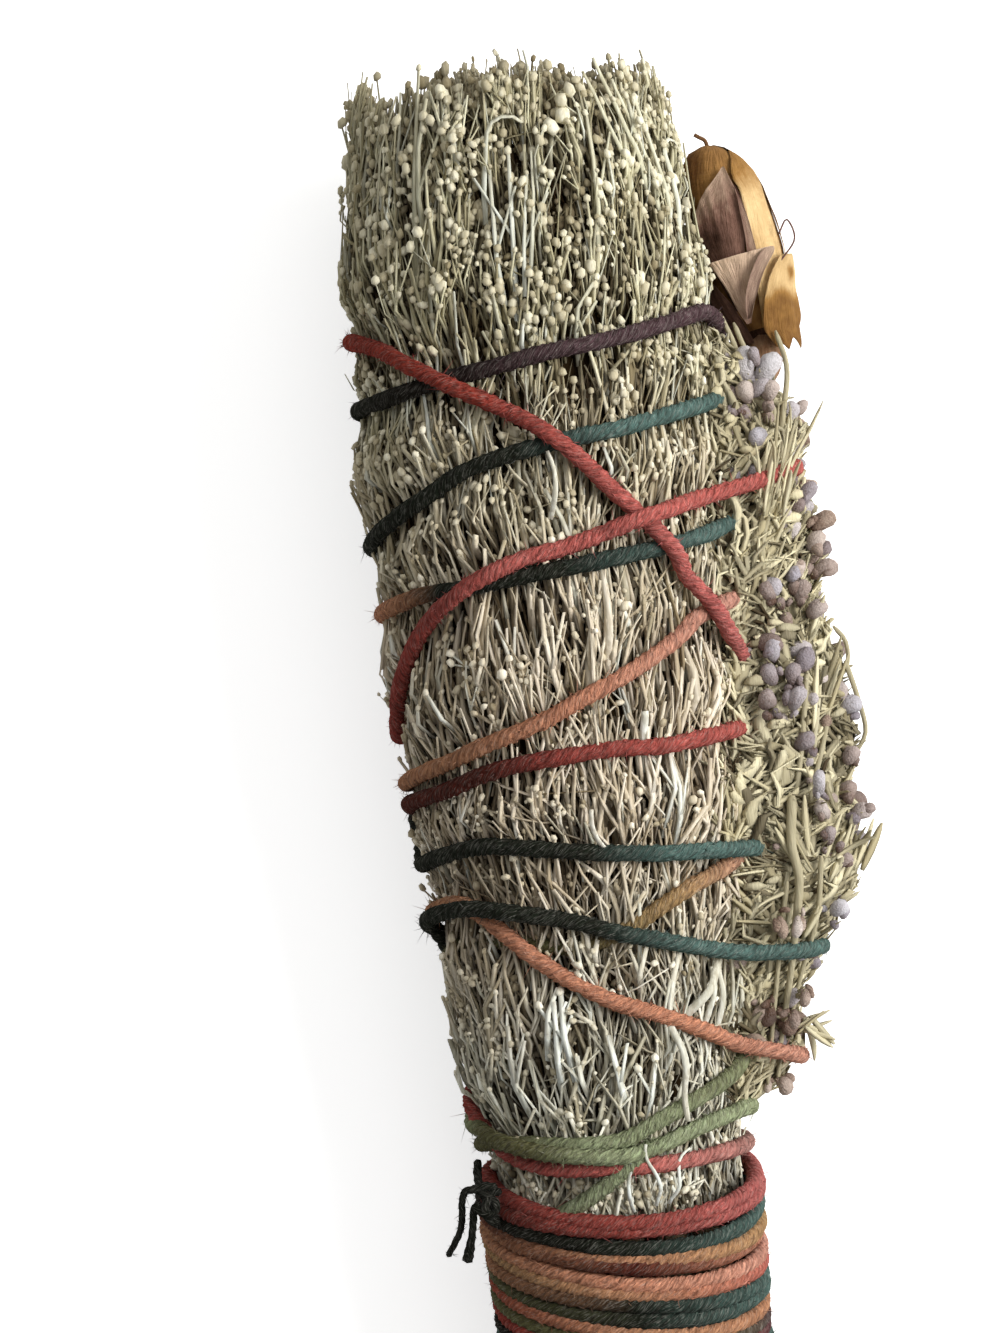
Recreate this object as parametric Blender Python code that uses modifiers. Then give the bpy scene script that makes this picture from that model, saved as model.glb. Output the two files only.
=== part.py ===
"""A large smudge stick: dried sage bound with one length of yarn, with a rosebud and herbs on one side.

The stick lies on the plane Z = 0 with its tips towards +Y and its flowers towards +X.
Places on it are given in millimetres as in a maker's notes:
    turn     degrees round the bunch, 0 at the top, 90 at the flower side, 180 underneath
    along    distance from the cut base towards the tips
    out      distance from the middle of the bunch
"""

import math

import bmesh
import bpy
import numpy as np
from mathutils import Vector

MM = 0.001

# Driving dimensions, in millimetres.
MODEL_LENGTH = 207.0
BASE_Y = -MODEL_LENGTH / 2
AXIS_X = -5.98
YARN_DIAMETER = 2.3
YARN_CLEARANCE = 0.65
YARN_STEP = 1.1
YARN_TOLERANCE = 0.28
GROOVE_CLEARANCE = 0.75
GROOVE_DROP = 0.4
FLOOR_CLEARANCE = 0.1
CROSSING_GAP = 0.3
CROSSING_RUN = 7.0
MOST_STACKED = 4
SPRIG_GAP = 0.5
STEM_RADIUS = 2.55
WINDING_START = 9.0
WINDING_END = 57.4
WINDING_BORE = 15.3
WINDING_SIDES = 24

# The outside of the winding, as (along, radius) from its top to its foot.
WINDING_OUTSIDE = ((WINDING_END, 18.2), (55.5, 19.6), (52, 20.0), (34, 18.9), (14, 18.4), (10.5, 18.0))

# Height of the bunch's middle above the plane that it lies on, and the radius that the yarn ties it to.
AXIS_HEIGHT = ((0, 20.2), (57, 20.2), (80, 21.3), (107, 23.2), (134, 24.0), (162, 24.6), (212, 24.9))
TIED_RADIUS = (
    (0, 14.8),
    (57, 15.2),
    (64, 17.6),
    (80, 19.2),
    (107, 21.5),
    (134, 22.3),
    (162, 23.0),
    (175, 22.6),
    (189, 22.0),
    (212, 19.0),
)
SPRIG_STATIONS = (52, 58, 64, 80, 107, 134, 162, 175)
TIP_TAPER = ((-9.0, 1.0), (-3.5, 0.84), (0.0, 0.5))

# The lowest sprig is the wide one that the stick rests on.
OUTER_SPRIGS = 12
INNER_SPRIGS = 6
REST_HALF_ANGLE = 20.0
OUTER_HALF_ANGLE = (180.0 - REST_HALF_ANGLE) / (OUTER_SPRIGS - 1)
OUTER_STEM_RING = 12.1
INNER_STEM_RING = 6.1
OUTER_TIPS = (204, 201, 203.5, 200, 202, 199, 200, 198.5, 201, 203, 200.5, 202.5)
INNER_TIPS = (206, 204.5, 205.5, 203.5, 205, 206.5)
CENTRE_TIP = 207.0

# Corners of a sprig's section: share of the tied radius, and share of its half angle.
OUTER_SECTION = (
    (1.0, 0.0),
    (0.985, 0.6),
    (0.93, 1.0),
    (0.68, 1.0),
    (0.60, 0.0),
    (0.68, -1.0),
    (0.93, -1.0),
    (0.985, -0.6),
)
RESTING_SECTION = (
    (1.0, 0.0),
    (1.0, 0.86),
    (0.93, 1.0),
    (0.68, 1.0),
    (0.60, 0.0),
    (0.68, -1.0),
    (0.93, -1.0),
    (1.0, -0.86),
)
INNER_SECTION = (
    (0.56, 0.0),
    (0.52, 0.85),
    (0.34, 0.95),
    (0.24, 0.0),
    (0.34, -0.95),
    (0.52, -0.85),
)
CENTRE_SHARE = 0.20
CENTRE_CORNERS = 8

# The criss-cross yarn, one line for each turn round the bunch, from the left side over the top, down the
# flower side, underneath and back to the left. Each point is turn, along and, over the flowers, stand-off.
YARN_TURNS = (
    # light green, rising out of the winding
    (
        (-95, 61, 0), (-64, 62.4, 0), (-40, 62.6, 0), (-18, 62.2, 0), (-4, 62.3, 0), (5, 62.8, 0),
        (14, 64.2, 0), (30, 66.2, 0), (40, 67.2, 0), (50, 68.2, 0), (63, 69.8, 0), (76, 72.6, 0),
        (90, 75.6, 0), (120, 79.4, 0), (140, 81.5, 0), (155, 82.6, 0), (180, 84.2, 0), (205, 85.4, 0),
        (240, 86.8, 0),
    ),
    # olive to salmon
    (
        (-90, 87.8, 0), (-60, 90.3, 0), (-33, 89.8, 0), (-10, 88.8, 0), (12, 90.8, 0), (35, 95, 0),
        (58, 97.4, 0), (76, 99.6, 0), (92, 101.2, 0), (130, 102.8, 0), (180, 105.3, 0), (230, 107.5, 0),
    ),
    # maroon to crimson
    (
        (-90, 109, 0), (-53, 110.7, 0), (-34, 112.6, 0), (-19, 113.7, 0), (1, 114.3, 0), (13, 114.5, 0),
        (26, 114.2, 0), (42, 114.6, 0), (69, 115.4, 0), (85, 116, 0), (120, 115.2, 0), (180, 113.8, 0),
        (230, 112.4, 0),
    ),
    # tan to peach
    (
        (-90, 112, 0), (-52, 114.2, 0), (-33, 116.3, 0), (-12, 118.8, 0), (2, 121.4, 0), (15, 123.7, 0),
        (30, 126.8, 0), (38, 128.7, 0), (48, 131, 0), (77, 133.2, 0), (120, 134.8, 0), (180, 134.8, 0),
        (230, 135, 0),
    ),
    # peach, dark green, teal
    (
        (-90, 135.4, 0), (-61, 136.4, 0), (-50, 137, 0), (-30, 137.4, 0), (-7, 138.3, 0), (6, 138.8, 0),
        (18, 139.4, 0), (32, 140.1, 0), (51, 141.4, 0), (70, 143, 0), (85, 144, 0), (130, 144.3, 0),
        (180, 144.2, 0), (230, 144.4, 0),
    ),
    # dark green to teal
    (
        (-90, 144.7, 0), (-71, 146, 0), (-44, 149.4, 0), (-28, 152.3, 0), (-15, 153.7, 0), (-3, 154.6, 0),
        (10, 155.4, 0), (22, 156, 0), (37, 157.2, 0), (56, 158.6, 0), (85, 160.7, 0), (130, 162.6, 0),
        (180, 163.2, 0), (230, 163.3, 0),
    ),
    # green-black to purple-brown
    (
        (-90, 163.3, 0), (-61, 163.4, 0), (-40, 164.2, 0), (-25, 164.9, 0), (-12, 165.6, 0), (0, 166.5, 0),
        (12, 167.1, 0), (25, 167.9, 0), (40, 169.2, 0), (62, 171.1, 0), (74, 170.6, 0), (88, 169.5, 0),
        (106, 169.4, 0), (128, 170.8, 0), (152, 172.6, 0), (180, 173.6, 0), (230, 173.7, 0),
    ),
    # red, the long way down
    (
        (-90, 173, 0), (-58, 170.5, 0), (-40, 167, 0), (-26, 163.4, 0), (-13, 160, 0), (-2, 156.7, 0),
        (9, 152, 0), (26, 143.8, 0), (39, 136.7, 0), (47, 132.3, 0), (57, 127.9, 0), (72, 123.6, 0),
        (86, 119.8, 0), (102, 118.4, 0), (140, 118.2, 0), (180, 118.4, 0), (205, 118.6, 0), (240, 119, 0),
    ),
    # coral red, over the flower sprigs
    (
        (-90, 119, 0), (-70, 125.6, 0), (-53, 131.7, 0), (-43, 134.4, 0), (-34, 136, 0), (-26, 137.8, 0),
        (-12, 140.2, 0), (0, 141.1, 0), (12, 142.4, 0), (24, 144.1, 0), (41, 145.6, 0), (53, 146.5, 0.6),
        (66, 147.8, 4.2), (78, 149.2, 7.5), (90, 149.6, 8.5), (103, 147.4, 7.4), (118, 141, 2.2),
        (133, 135.5, 0), (155, 130, 0), (180, 126, 0), (205, 122.5, 0), (218, 117.6, 0), (232, 112, 0),
        (250, 106, 0),
    ),
    # dark green to teal
    (
        (-90, 100.9, 0), (-60, 102.1, 0), (-42, 103.1, 0), (-30, 103.1, 0), (-16, 102.3, 0), (-3, 101.5, 0),
        (10, 100.8, 0), (23, 100.2, 0), (38, 99.8, 0), (61, 99.1, 0), (84, 98.4, 0), (102, 97.6, 0),
        (140, 96.6, 0), (180, 96.2, 0), (230, 95, 0),
    ),
    # tan to salmon, over the flower sprigs
    (
        (-90, 94, 0), (-57, 95.6, 0), (-44, 94, 0), (-36, 91.7, 0), (-21, 87, 0), (-8, 83.6, 0),
        (5, 80.9, 0), (20, 78.8, 0), (36, 76.3, 0), (49, 74.3, 0.1), (58, 72.8, 0.9), (70, 71, 4.6),
        (80, 69.8, 6.6), (90, 69.1, 7.0), (102, 70.2, 6.6), (115, 72.5, 3.2), (128, 75, 0.4),
        (140, 76.6, 0), (155, 78, 0), (180, 80, 0), (205, 82.3, 0), (236, 86.8, 0),
    ),
    # dark green to teal, over the flower sprigs
    (
        (-90, 91.4, 0), (-70, 93.8, 0), (-47, 95.1, 0), (-34, 94.6, 0), (-19, 93.4, 0), (-6, 92.1, 0),
        (7, 90.3, 0), (21, 88.8, 0), (36, 87.2, 0.2), (48, 86, 1.6), (60, 85, 4.9), (75, 84, 10.5),
        (90, 83.7, 12.5), (104, 82.7, 11.1), (118, 80, 5), (130, 78, 0.6), (140, 76, 0),
        (155, 73.8, 0), (180, 71.5, 0), (205, 69.6, 0), (240, 66.9, 0),
    ),
    # light green, back into the winding
    (
        (-90, 64.6, 0), (-64, 64.2, 0), (-30, 61.8, 0), (-6, 60.6, 0), (5, 60.5, 0), (16, 61, 0),
        (31, 62.4, 0), (47, 63.3, 0), (72, 63.6, 0), (100, 62, 0),
    ),
)

# The flower side. Each point is along, distance beyond the tied radius, height over the middle, and radius.
ROSE_STEM = (
    (65, 4.6, 0, 0.9),
    (75, 5.2, 0, 0.9),
    (95, 5.6, 0, 0.9),
    (120, 5.6, 0, 0.9),
    (145, 5.5, 0, 0.9),
    (156, 6.5, -0.9, 0.95),
    (161, 7.3, -1.7, 1.2),
    (163.6, 7.7, -2.1, 2.3),
    (166, 8.0, -2.4, 2.7),
    (168.2, 8.2, -2.6, 2.2),
)
NEEDLE_SPRIG_UPPER = (
    (100, 6.6, 4.4, 0.8),
    (104, 8.0, 4.5, 2.4),
    (112, 8.8, 4.6, 3.3),
    (124, 9.0, 4.6, 3.4),
    (134, 8.6, 4.5, 3.1),
    (141, 7.6, 4.2, 2.2),
    (146, 6.8, 3.8, 1.1),
    (151, 6.5, 3.7, 1.0),
    (156, 7.0, 3.9, 2.0),
    (161, 7.6, 4.2, 1.2),
    (163, 7.8, 4.3, 0.6),
)
LAVENDER_SPRIG_UPPER = (
    (102, 6.8, -4.5, 0.8),
    (107, 8.2, -4.6, 2.4),
    (112, 8.8, -4.6, 1.2),
    (119, 9.6, -4.8, 3.2),
    (126, 9.0, -4.6, 1.2),
    (135, 8.4, -4.4, 2.9),
    (142, 7.6, -4.2, 1.3),
    (147, 6.8, -3.8, 1.0),
    (151, 6.5, -3.8, 1.0),
    (156, 7.2, -4.8, 2.2),
    (160, 7.6, -5.4, 1.2),
)
NEEDLE_SPRIG_LOWER = (
    (65, 4.8, 2.5, 0.8),
    (70, 5.0, 2.6, 1.0),
    (74, 6.8, 3.4, 1.9),
    (79, 8.0, 4.2, 2.7),
    (86, 8.4, 4.4, 2.9),
    (92, 8.4, 4.4, 2.9),
    (96, 7.8, 4.3, 1.4),
    (98, 7.4, 4.3, 0.6),
)
LAVENDER_SPRIG_LOWER = (
    (65, 4.8, -2.5, 0.8),
    (70, 5.0, -2.6, 1.0),
    (75, 7.2, -3.7, 2.1),
    (79, 8.0, -4.3, 1.3),
    (84, 8.4, -4.6, 1.3),
    (90, 8.6, -4.8, 2.9),
    (96, 8.0, -4.6, 1.4),
    (99, 7.4, -4.5, 0.6),
)

# The rosebud, in millimetres from the top of its hip. Its own Z is the bud's axis and its -Y faces up.
ROSE_LEAN = -10.0
BUD_PROFILE = ((27.0, 0.0), (26.3, 1.8), (23.5, 4.0), (19, 5.1), (13, 5.5), (7, 4.9), (3.2, 3.7), (0.7, 1.8))
BUD_SIDES = 14
PETAL_THICKNESS = 0.6
SEPAL_THICKNESS = 0.8

# The knot, on the left side of the winding.
KNOT_TURN = -59.0
KNOT_ALONG = 55.4
KNOT_RADIUS = 2.2
KNOT_SEAT = 20.15
TAIL_DIAMETER = 1.5
TAIL_POINTS = (
    (-5.6, -7.9, -4.0),
    (-3.8, -4.4, -2.6),
    (-2.8, -0.6, -1.2),
    (-1.6, 0.6, -0.4),
    (-1.4, -1.6, -0.4),
    (-2.2, -5.0, -1.6),
    (-3.0, -8.8, -3.0),
)

COLOURS = {
    "sage": (0.42, 0.40, 0.29),
    "yarn": (0.42, 0.12, 0.09),
    "rose": (0.46, 0.27, 0.10),
    "sepal": (0.33, 0.20, 0.15),
    "stalk": (0.33, 0.28, 0.13),
    "lavender": (0.36, 0.31, 0.32),
    "needles": (0.38, 0.32, 0.14),
}


def read_profile(profile, along):
    """The value of a profile at a distance along the stick."""
    stations, values = zip(*profile)
    return float(np.interp(along, stations, values))


def place(turn, along, out):
    """A point from its turn in degrees, its distance along the stick and its distance from the middle."""
    angle = math.radians(turn)
    x = AXIS_X + out * math.sin(angle)
    z = read_profile(AXIS_HEIGHT, along) + out * math.cos(angle)
    return Vector((x, BASE_Y + along, z)) * MM


def clear_scene():
    """Leaves no object in the file."""
    for item in list(bpy.data.objects):
        bpy.data.objects.remove(item)


def make_collection(name):
    """A collection in the scene."""
    collection = bpy.data.collections.new(name)
    bpy.context.scene.collection.children.link(collection)
    return collection


def make_material(name, colour, roughness):
    """A plain material of one colour."""
    material = bpy.data.materials.new(name)
    material.use_nodes = True
    shader = material.node_tree.nodes["Principled BSDF"]
    shader.inputs["Base Color"].default_value = (*colour, 1.0)
    shader.inputs["Roughness"].default_value = roughness
    shader.inputs["Metallic"].default_value = 0.0
    return material


def add_object(name, data, material, collection):
    """An object for one piece, in the collection, with its own material."""
    piece = bpy.data.objects.new(name, data)
    collection.objects.link(piece)
    if material:
        data.materials.append(material)
    return piece


def add_mesh_object(name, built, material, collection, smooth=True):
    """An object from a bmesh whose faces are turned outwards."""
    bmesh.ops.recalc_face_normals(built, faces=built.faces)
    mesh = bpy.data.meshes.new(name)
    built.to_mesh(mesh)
    built.free()
    if smooth:
        mesh.shade_smooth()
        mesh.set_sharp_from_angle(angle=math.radians(50))
    return add_object(name, mesh, material, collection)


def wedge_section(corners, half_angle, middle_turn, along):
    """The corners of a sprig's section in the tied bunch, as (turn, out)."""
    radius = read_profile(TIED_RADIUS, along)
    points = []
    for share, side in corners:
        out = share * radius
        edge = half_angle - math.degrees(SPRIG_GAP / 2 / out)
        points.append((middle_turn + side * edge, out))
    return points


def resting_section(corners, half_angle, middle_turn, along):
    """A wedge section whose outermost corners lie flat on the plane below the stick."""
    height = read_profile(AXIS_HEIGHT, along)
    points = []
    for (turn, out), (share, _) in zip(wedge_section(corners, half_angle, middle_turn, along), corners):
        if share == 1.0:
            out = height / math.cos(math.radians(turn - middle_turn))
        points.append((turn, out))
    return points


def stem_section(corners, ring, middle_turn):
    """A round stem's section with as many corners as the sprig's, as (turn, out)."""
    count = len(corners)
    points = []
    for index in range(count):
        angle = 2 * math.pi * index / count
        across = STEM_RADIUS * math.sin(angle)
        outwards = ring + STEM_RADIUS * math.cos(angle)
        turn = middle_turn + math.degrees(math.atan2(across, outwards))
        points.append((turn, math.hypot(across, outwards)))
    return points


def centre_section(radius):
    """The middle sprig's round section, as (turn, out)."""
    return [(360.0 * index / CENTRE_CORNERS, radius) for index in range(CENTRE_CORNERS)]


def shrink(points, share):
    """Points drawn in towards their own middle."""
    middle = sum(points, Vector()) / len(points)
    return [middle + (point - middle) * share for point in points]


def grow_sprig(name, stem, foliage, base, tip, material, collection):
    """A sprig from its round cut stem to its rounded tip, extruded section by section.

    stem is its section in the handle, and foliage(along) its section above.
    """
    rings = [[place(turn, along, out) for turn, out in stem] for along in (base, *SPRIG_STATIONS[:2])]
    for along in SPRIG_STATIONS[2:]:
        rings.append([place(turn, along, out) for turn, out in foliage(along)])
    for back, share in TIP_TAPER:
        section = foliage(tip + back)
        rings.append(shrink([place(turn, tip + back, out) for turn, out in section], share))
    built = bmesh.new()
    cap = built.faces.new([built.verts.new(point) for point in rings[0]])
    for number, ring in enumerate(rings[1:]):
        grown = bmesh.ops.extrude_face_region(built, geom=[cap])["geom"]
        if number and cap.is_valid:
            bmesh.ops.delete(built, geom=[cap], context="FACES_ONLY")
        cap = next(item for item in grown if isinstance(item, bmesh.types.BMFace))
        for vert, point in zip(cap.verts, ring):
            vert.co = point
    return add_mesh_object(name, built, material, collection)


def grow_sage(collection):
    """The nineteen sage sprigs. Returns the one that the stick rests on."""
    resting = None
    for index in range(OUTER_SPRIGS):
        name = f"sage_sprig_outer_{index + 1:02d}"
        material = make_material(name, COLOURS["sage"], 0.9)
        lowest = index == OUTER_SPRIGS // 2
        steps = index if index <= OUTER_SPRIGS // 2 else index - OUTER_SPRIGS
        turn = 180.0 if lowest else 2 * OUTER_HALF_ANGLE * steps
        half_angle = REST_HALF_ANGLE if lowest else OUTER_HALF_ANGLE
        section = resting_section if lowest else wedge_section
        corners = RESTING_SECTION if lowest else OUTER_SECTION

        def foliage(along, section=section, corners=corners, half_angle=half_angle, turn=turn):
            return section(corners, half_angle, turn, along)

        stem = stem_section(OUTER_SECTION, OUTER_STEM_RING, turn)
        base = 1.5 + index % 3
        sprig = grow_sprig(name, stem, foliage, base, OUTER_TIPS[index], material, collection)
        if lowest:
            resting = sprig
    for index in range(INNER_SPRIGS):
        name = f"sage_sprig_inner_{index + 1}"
        material = make_material(name, COLOURS["sage"], 0.9)
        turn = 60.0 * index

        def foliage(along, turn=turn):
            return wedge_section(INNER_SECTION, 30.0, turn, along)

        stem = stem_section(INNER_SECTION, INNER_STEM_RING, turn)
        grow_sprig(name, stem, foliage, 1.0 + index % 2, INNER_TIPS[index], material, collection)
    material = make_material("sage_sprig_centre", COLOURS["sage"], 0.9)

    def foliage(along):
        return centre_section(CENTRE_SHARE * read_profile(TIED_RADIUS, along))

    stem = centre_section(STEM_RADIUS)
    grow_sprig("sage_sprig_centre", stem, foliage, 0.0, CENTRE_TIP, material, collection)
    return resting


def smooth_line(points, step):
    """Points a step apart on a smooth curve through the given points, which may have any number of values.

    The first three values are a place in millimetres, and steps are measured along them.
    """
    points = np.array(points, float)
    ends = np.vstack((2 * points[0] - points[1], points, 2 * points[-1] - points[-2]))
    fine = []
    shares = np.linspace(0, 1, 12, endpoint=False)[:, None]
    for before, start, end, after in zip(ends, ends[1:], ends[2:], ends[3:]):
        fine.append(
            0.5
            * (
                2 * start
                + (end - before) * shares
                + (2 * before - 5 * start + 4 * end - after) * shares**2
                + (3 * start - before - 3 * end + after) * shares**3
            )
        )
    fine = np.vstack((*fine, points[-1:]))
    travelled = np.concatenate(([0], np.cumsum(np.linalg.norm(np.diff(fine[:, :3], axis=0), axis=1))))
    count = max(2, round(travelled[-1] / step) + 1)
    wanted = np.linspace(0, travelled[-1], count)
    return np.column_stack([np.interp(wanted, travelled, column) for column in fine.T])


def yarn_seat(turn, along):
    """Distance from the middle at which yarn lies on the sage, or just above the plane underneath."""
    on_sage = read_profile(TIED_RADIUS, along) + YARN_DIAMETER / 2 + YARN_CLEARANCE
    height = read_profile(AXIS_HEIGHT, along) - YARN_DIAMETER / 2 - FLOOR_CLEARANCE
    down = -math.cos(math.radians(turn))
    return min(on_sage, height / down) if down > 0.5 else on_sage


def lift_over_crossings(turns, alongs, outs, step):
    """How far each point of the yarn is lifted so that it passes over the turns wound before it."""
    radii = np.array([read_profile(TIED_RADIUS, along) for along in alongs])
    round_gaps = (turns[None] - turns[:, None] + 180) % 360 - 180
    gaps = np.hypot(np.radians(round_gaps) * radii[:, None], alongs[None] - alongs[:, None])
    earlier = turns[None] < turns[:, None] - 180
    thickness = YARN_DIAMETER + CROSSING_GAP
    needed = np.sqrt(np.clip(thickness**2 - gaps**2, 0, None))
    index = np.arange(len(turns))
    spread = np.clip(np.abs(index[None] - index[:, None]) * step / CROSSING_RUN, 0, 1)
    fall = 0.5 + 0.5 * np.cos(math.pi * spread)
    free = np.clip((np.abs(turns % 360 - 180) - REST_HALF_ANGLE - 3) / 8, 0, 1)
    lifts = np.zeros(len(turns))
    for _ in range(MOST_STACKED):
        below = (outs + lifts)[None] + needed - outs[:, None]
        asked = np.where(earlier & (needed > 0), below, 0).max(axis=1)
        lifts = (asked[None] * fall).max(axis=1) * free
    return lifts


def yarn_line(step):
    """The criss-cross yarn's middle line. Returns its points in metres and their turns in degrees.

    Where a later turn crosses an earlier one it is lifted over it.
    """
    route = []
    for number, turn_points in enumerate(YARN_TURNS):
        for turn, along, off in turn_points:
            arc = math.radians(turn + 360 * number) * read_profile(TIED_RADIUS, along)
            route.append((arc, along, 0.0, turn + 360 * number, off))
    samples = smooth_line(route, step)
    turns, alongs, offs = samples[:, 3], samples[:, 1], samples[:, 4]
    outs = np.array([yarn_seat(turn, along) for turn, along in zip(turns, alongs)]) + offs
    lifts = lift_over_crossings(turns, alongs, outs, step)
    points = [place(turn, along, out) for turn, along, out in zip(turns, alongs, outs + lifts)]
    return points, turns


def thin_line(points, tolerance):
    """The indices of the points that keep a line within a tolerance in millimetres of all of them."""
    places = np.array([tuple(point) for point in points]) / MM
    kept = [0]
    last = 1
    while last < len(places) - 1:
        start = places[kept[-1]]
        chord = places[last + 1] - start
        between = places[kept[-1] + 1 : last + 1] - start
        off_chord = np.linalg.norm(np.cross(between, chord), axis=1) / np.linalg.norm(chord)
        if off_chord.max() > tolerance:
            kept.append(last)
        last += 1
    return [*kept, len(places) - 1]


def add_tube(name, points, diameter, material, collection, radii=None, resolution=2):
    """A round tube through points in metres, with closed ends. radii are shares of the tube's own."""
    data = bpy.data.curves.new(name, "CURVE")
    data.dimensions = "3D"
    data.bevel_depth = diameter / 2 * MM
    data.bevel_resolution = resolution
    data.use_fill_caps = True
    line = data.splines.new("POLY")
    line.points.add(len(points) - 1)
    for index, point in enumerate(points):
        line.points[index].co = (*point, 1.0)
        line.points[index].radius = radii[index] if radii is not None else 1.0
    return add_object(name, data, material, collection)


def as_mesh(curve):
    """The curve object remade as a mesh object with welded caps. The curve is removed."""
    bpy.context.view_layer.update()
    evaluated = curve.evaluated_get(bpy.context.evaluated_depsgraph_get())
    mesh = bpy.data.meshes.new_from_object(evaluated)
    built = bmesh.new()
    built.from_mesh(mesh)
    bmesh.ops.remove_doubles(built, verts=built.verts, dist=0.00001)
    built.to_mesh(mesh)
    built.free()
    name = curve.name
    collection = curve.users_collection[0]
    place_in_world = curve.matrix_world.copy()
    bpy.data.objects.remove(curve)
    piece = bpy.data.objects.new(name, mesh)
    collection.objects.link(piece)
    piece.matrix_world = place_in_world
    return piece


def hide_cutter(cutter):
    """Shows a cutter as wires only and leaves it out of the object."""
    cutter.hide_render = True
    cutter.display_type = "WIRE"


def bind_yarn(resting, collection, cutters):
    """The criss-cross yarn, and the grooves that it presses into the sprig underneath."""
    material = make_material("yarn_criss_cross", COLOURS["yarn"], 0.95)
    points, turns = yarn_line(YARN_STEP)
    kept = thin_line(points, YARN_TOLERANCE)
    points = [points[index] for index in kept]
    turns = [turns[index] for index in kept]
    add_tube("yarn_criss_cross", points, YARN_DIAMETER, material, collection, resolution=1)
    grooves = bmesh.new()
    underneath = [abs(turn % 360 - 180) < REST_HALF_ANGLE + 16 for turn in turns]
    drop = Vector((0, 0, GROOVE_DROP)) * MM
    stretch = []
    for index, inside in enumerate([*underneath, False]):
        if inside:
            stretch.append(points[index] - drop)
        elif stretch:
            diameter = YARN_DIAMETER + 2 * GROOVE_CLEARANCE
            pressed = as_mesh(add_tube("groove", stretch, diameter, None, cutters, resolution=1))
            grooves.from_mesh(pressed.data)
            bpy.data.objects.remove(pressed)
            stretch = []
    cutter = add_mesh_object("yarn_grooves", grooves, None, cutters, smooth=False)
    hide_cutter(cutter)
    cut = resting.modifiers.new("yarn_grooves", "BOOLEAN")
    cut.object = cutter
    cut.operation = "DIFFERENCE"
    cut.solver = "EXACT"
    cut.use_self = True


def turned(name, profile, sides, material, collection):
    """A turned shape from a profile of (height, radius) run from its top to its foot, about its own Z."""
    mesh = bpy.data.meshes.new(name)
    built = bmesh.new()
    verts = [built.verts.new(Vector((radius, 0, height)) * MM) for height, radius in profile]
    for first, second in zip(verts, verts[1:]):
        built.edges.new((first, second))
    built.to_mesh(mesh)
    built.free()
    piece = add_object(name, mesh, material, collection)
    screw = piece.modifiers.new("turn", "SCREW")
    screw.steps = sides
    screw.render_steps = sides
    screw.use_merge_vertices = True
    screw.merge_threshold = 0.00001
    return piece


def wind_handle(collection):
    """The close winding on the handle, as the outer shape of its turns."""
    material = make_material("yarn_handle_winding", COLOURS["yarn"], 0.95)
    inner = ((WINDING_START, 17.0), (WINDING_START, WINDING_BORE), (WINDING_END, WINDING_BORE))
    profile = (*WINDING_OUTSIDE, *inner, WINDING_OUTSIDE[0])
    sleeve = turned("yarn_handle_winding", profile, WINDING_SIDES, material, collection)
    sleeve.location = Vector((AXIS_X, BASE_Y, read_profile(AXIS_HEIGHT, 0))) * MM
    sleeve.rotation_euler = (math.radians(-90), 0, 0)


def tie_knot(collection, cutters):
    """The knot on the left of the winding, with its two cut ends, as one body."""
    material = make_material("yarn_knot", COLOURS["yarn"], 0.95)
    middle = place(KNOT_TURN, KNOT_ALONG, KNOT_SEAT + 0.85 * KNOT_RADIUS)
    built = bmesh.new()
    bmesh.ops.create_uvsphere(built, u_segments=10, v_segments=6, radius=KNOT_RADIUS * MM)
    bmesh.ops.scale(built, vec=(0.85, 1.1, 1.0), verts=built.verts)
    bmesh.ops.translate(built, vec=middle, verts=built.verts)
    knot = add_mesh_object("yarn_knot", built, material, collection)
    tails = [middle + Vector((x, y, z)) * MM for x, y, z in TAIL_POINTS]
    ends = as_mesh(add_tube("yarn_tails", tails, TAIL_DIAMETER, None, cutters))
    hide_cutter(ends)
    join = knot.modifiers.new("tails", "BOOLEAN")
    join.object = ends
    join.operation = "UNION"
    join.solver = "EXACT"


def flower_line(points):
    """Places along a flower stem in metres, with the radius at each."""
    rows = [
        (read_profile(TIED_RADIUS, along) + beyond, along, up, radius)
        for along, beyond, up, radius in points
    ]
    samples = smooth_line(rows, 5.0)
    places = [
        Vector((AXIS_X + out, BASE_Y + along, read_profile(AXIS_HEIGHT, along) + up)) * MM
        for out, along, up, radius in samples
    ]
    return places, samples[:, 3]


def lay_sprig(name, colour, points, collection):
    """A flower or herb sprig: its stem, thickened where its buds or needles sit close."""
    material = make_material(name, COLOURS[colour], 0.85)
    places, radii = flower_line(points)
    add_tube(name, places, 2.0, material, collection, radii=radii)
    return places[-1]


def bud_radius(height):
    """The furled bud's radius at a height over the hip."""
    heights, radii = zip(*reversed(BUD_PROFILE))
    return float(np.interp(height, heights, radii))


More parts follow.
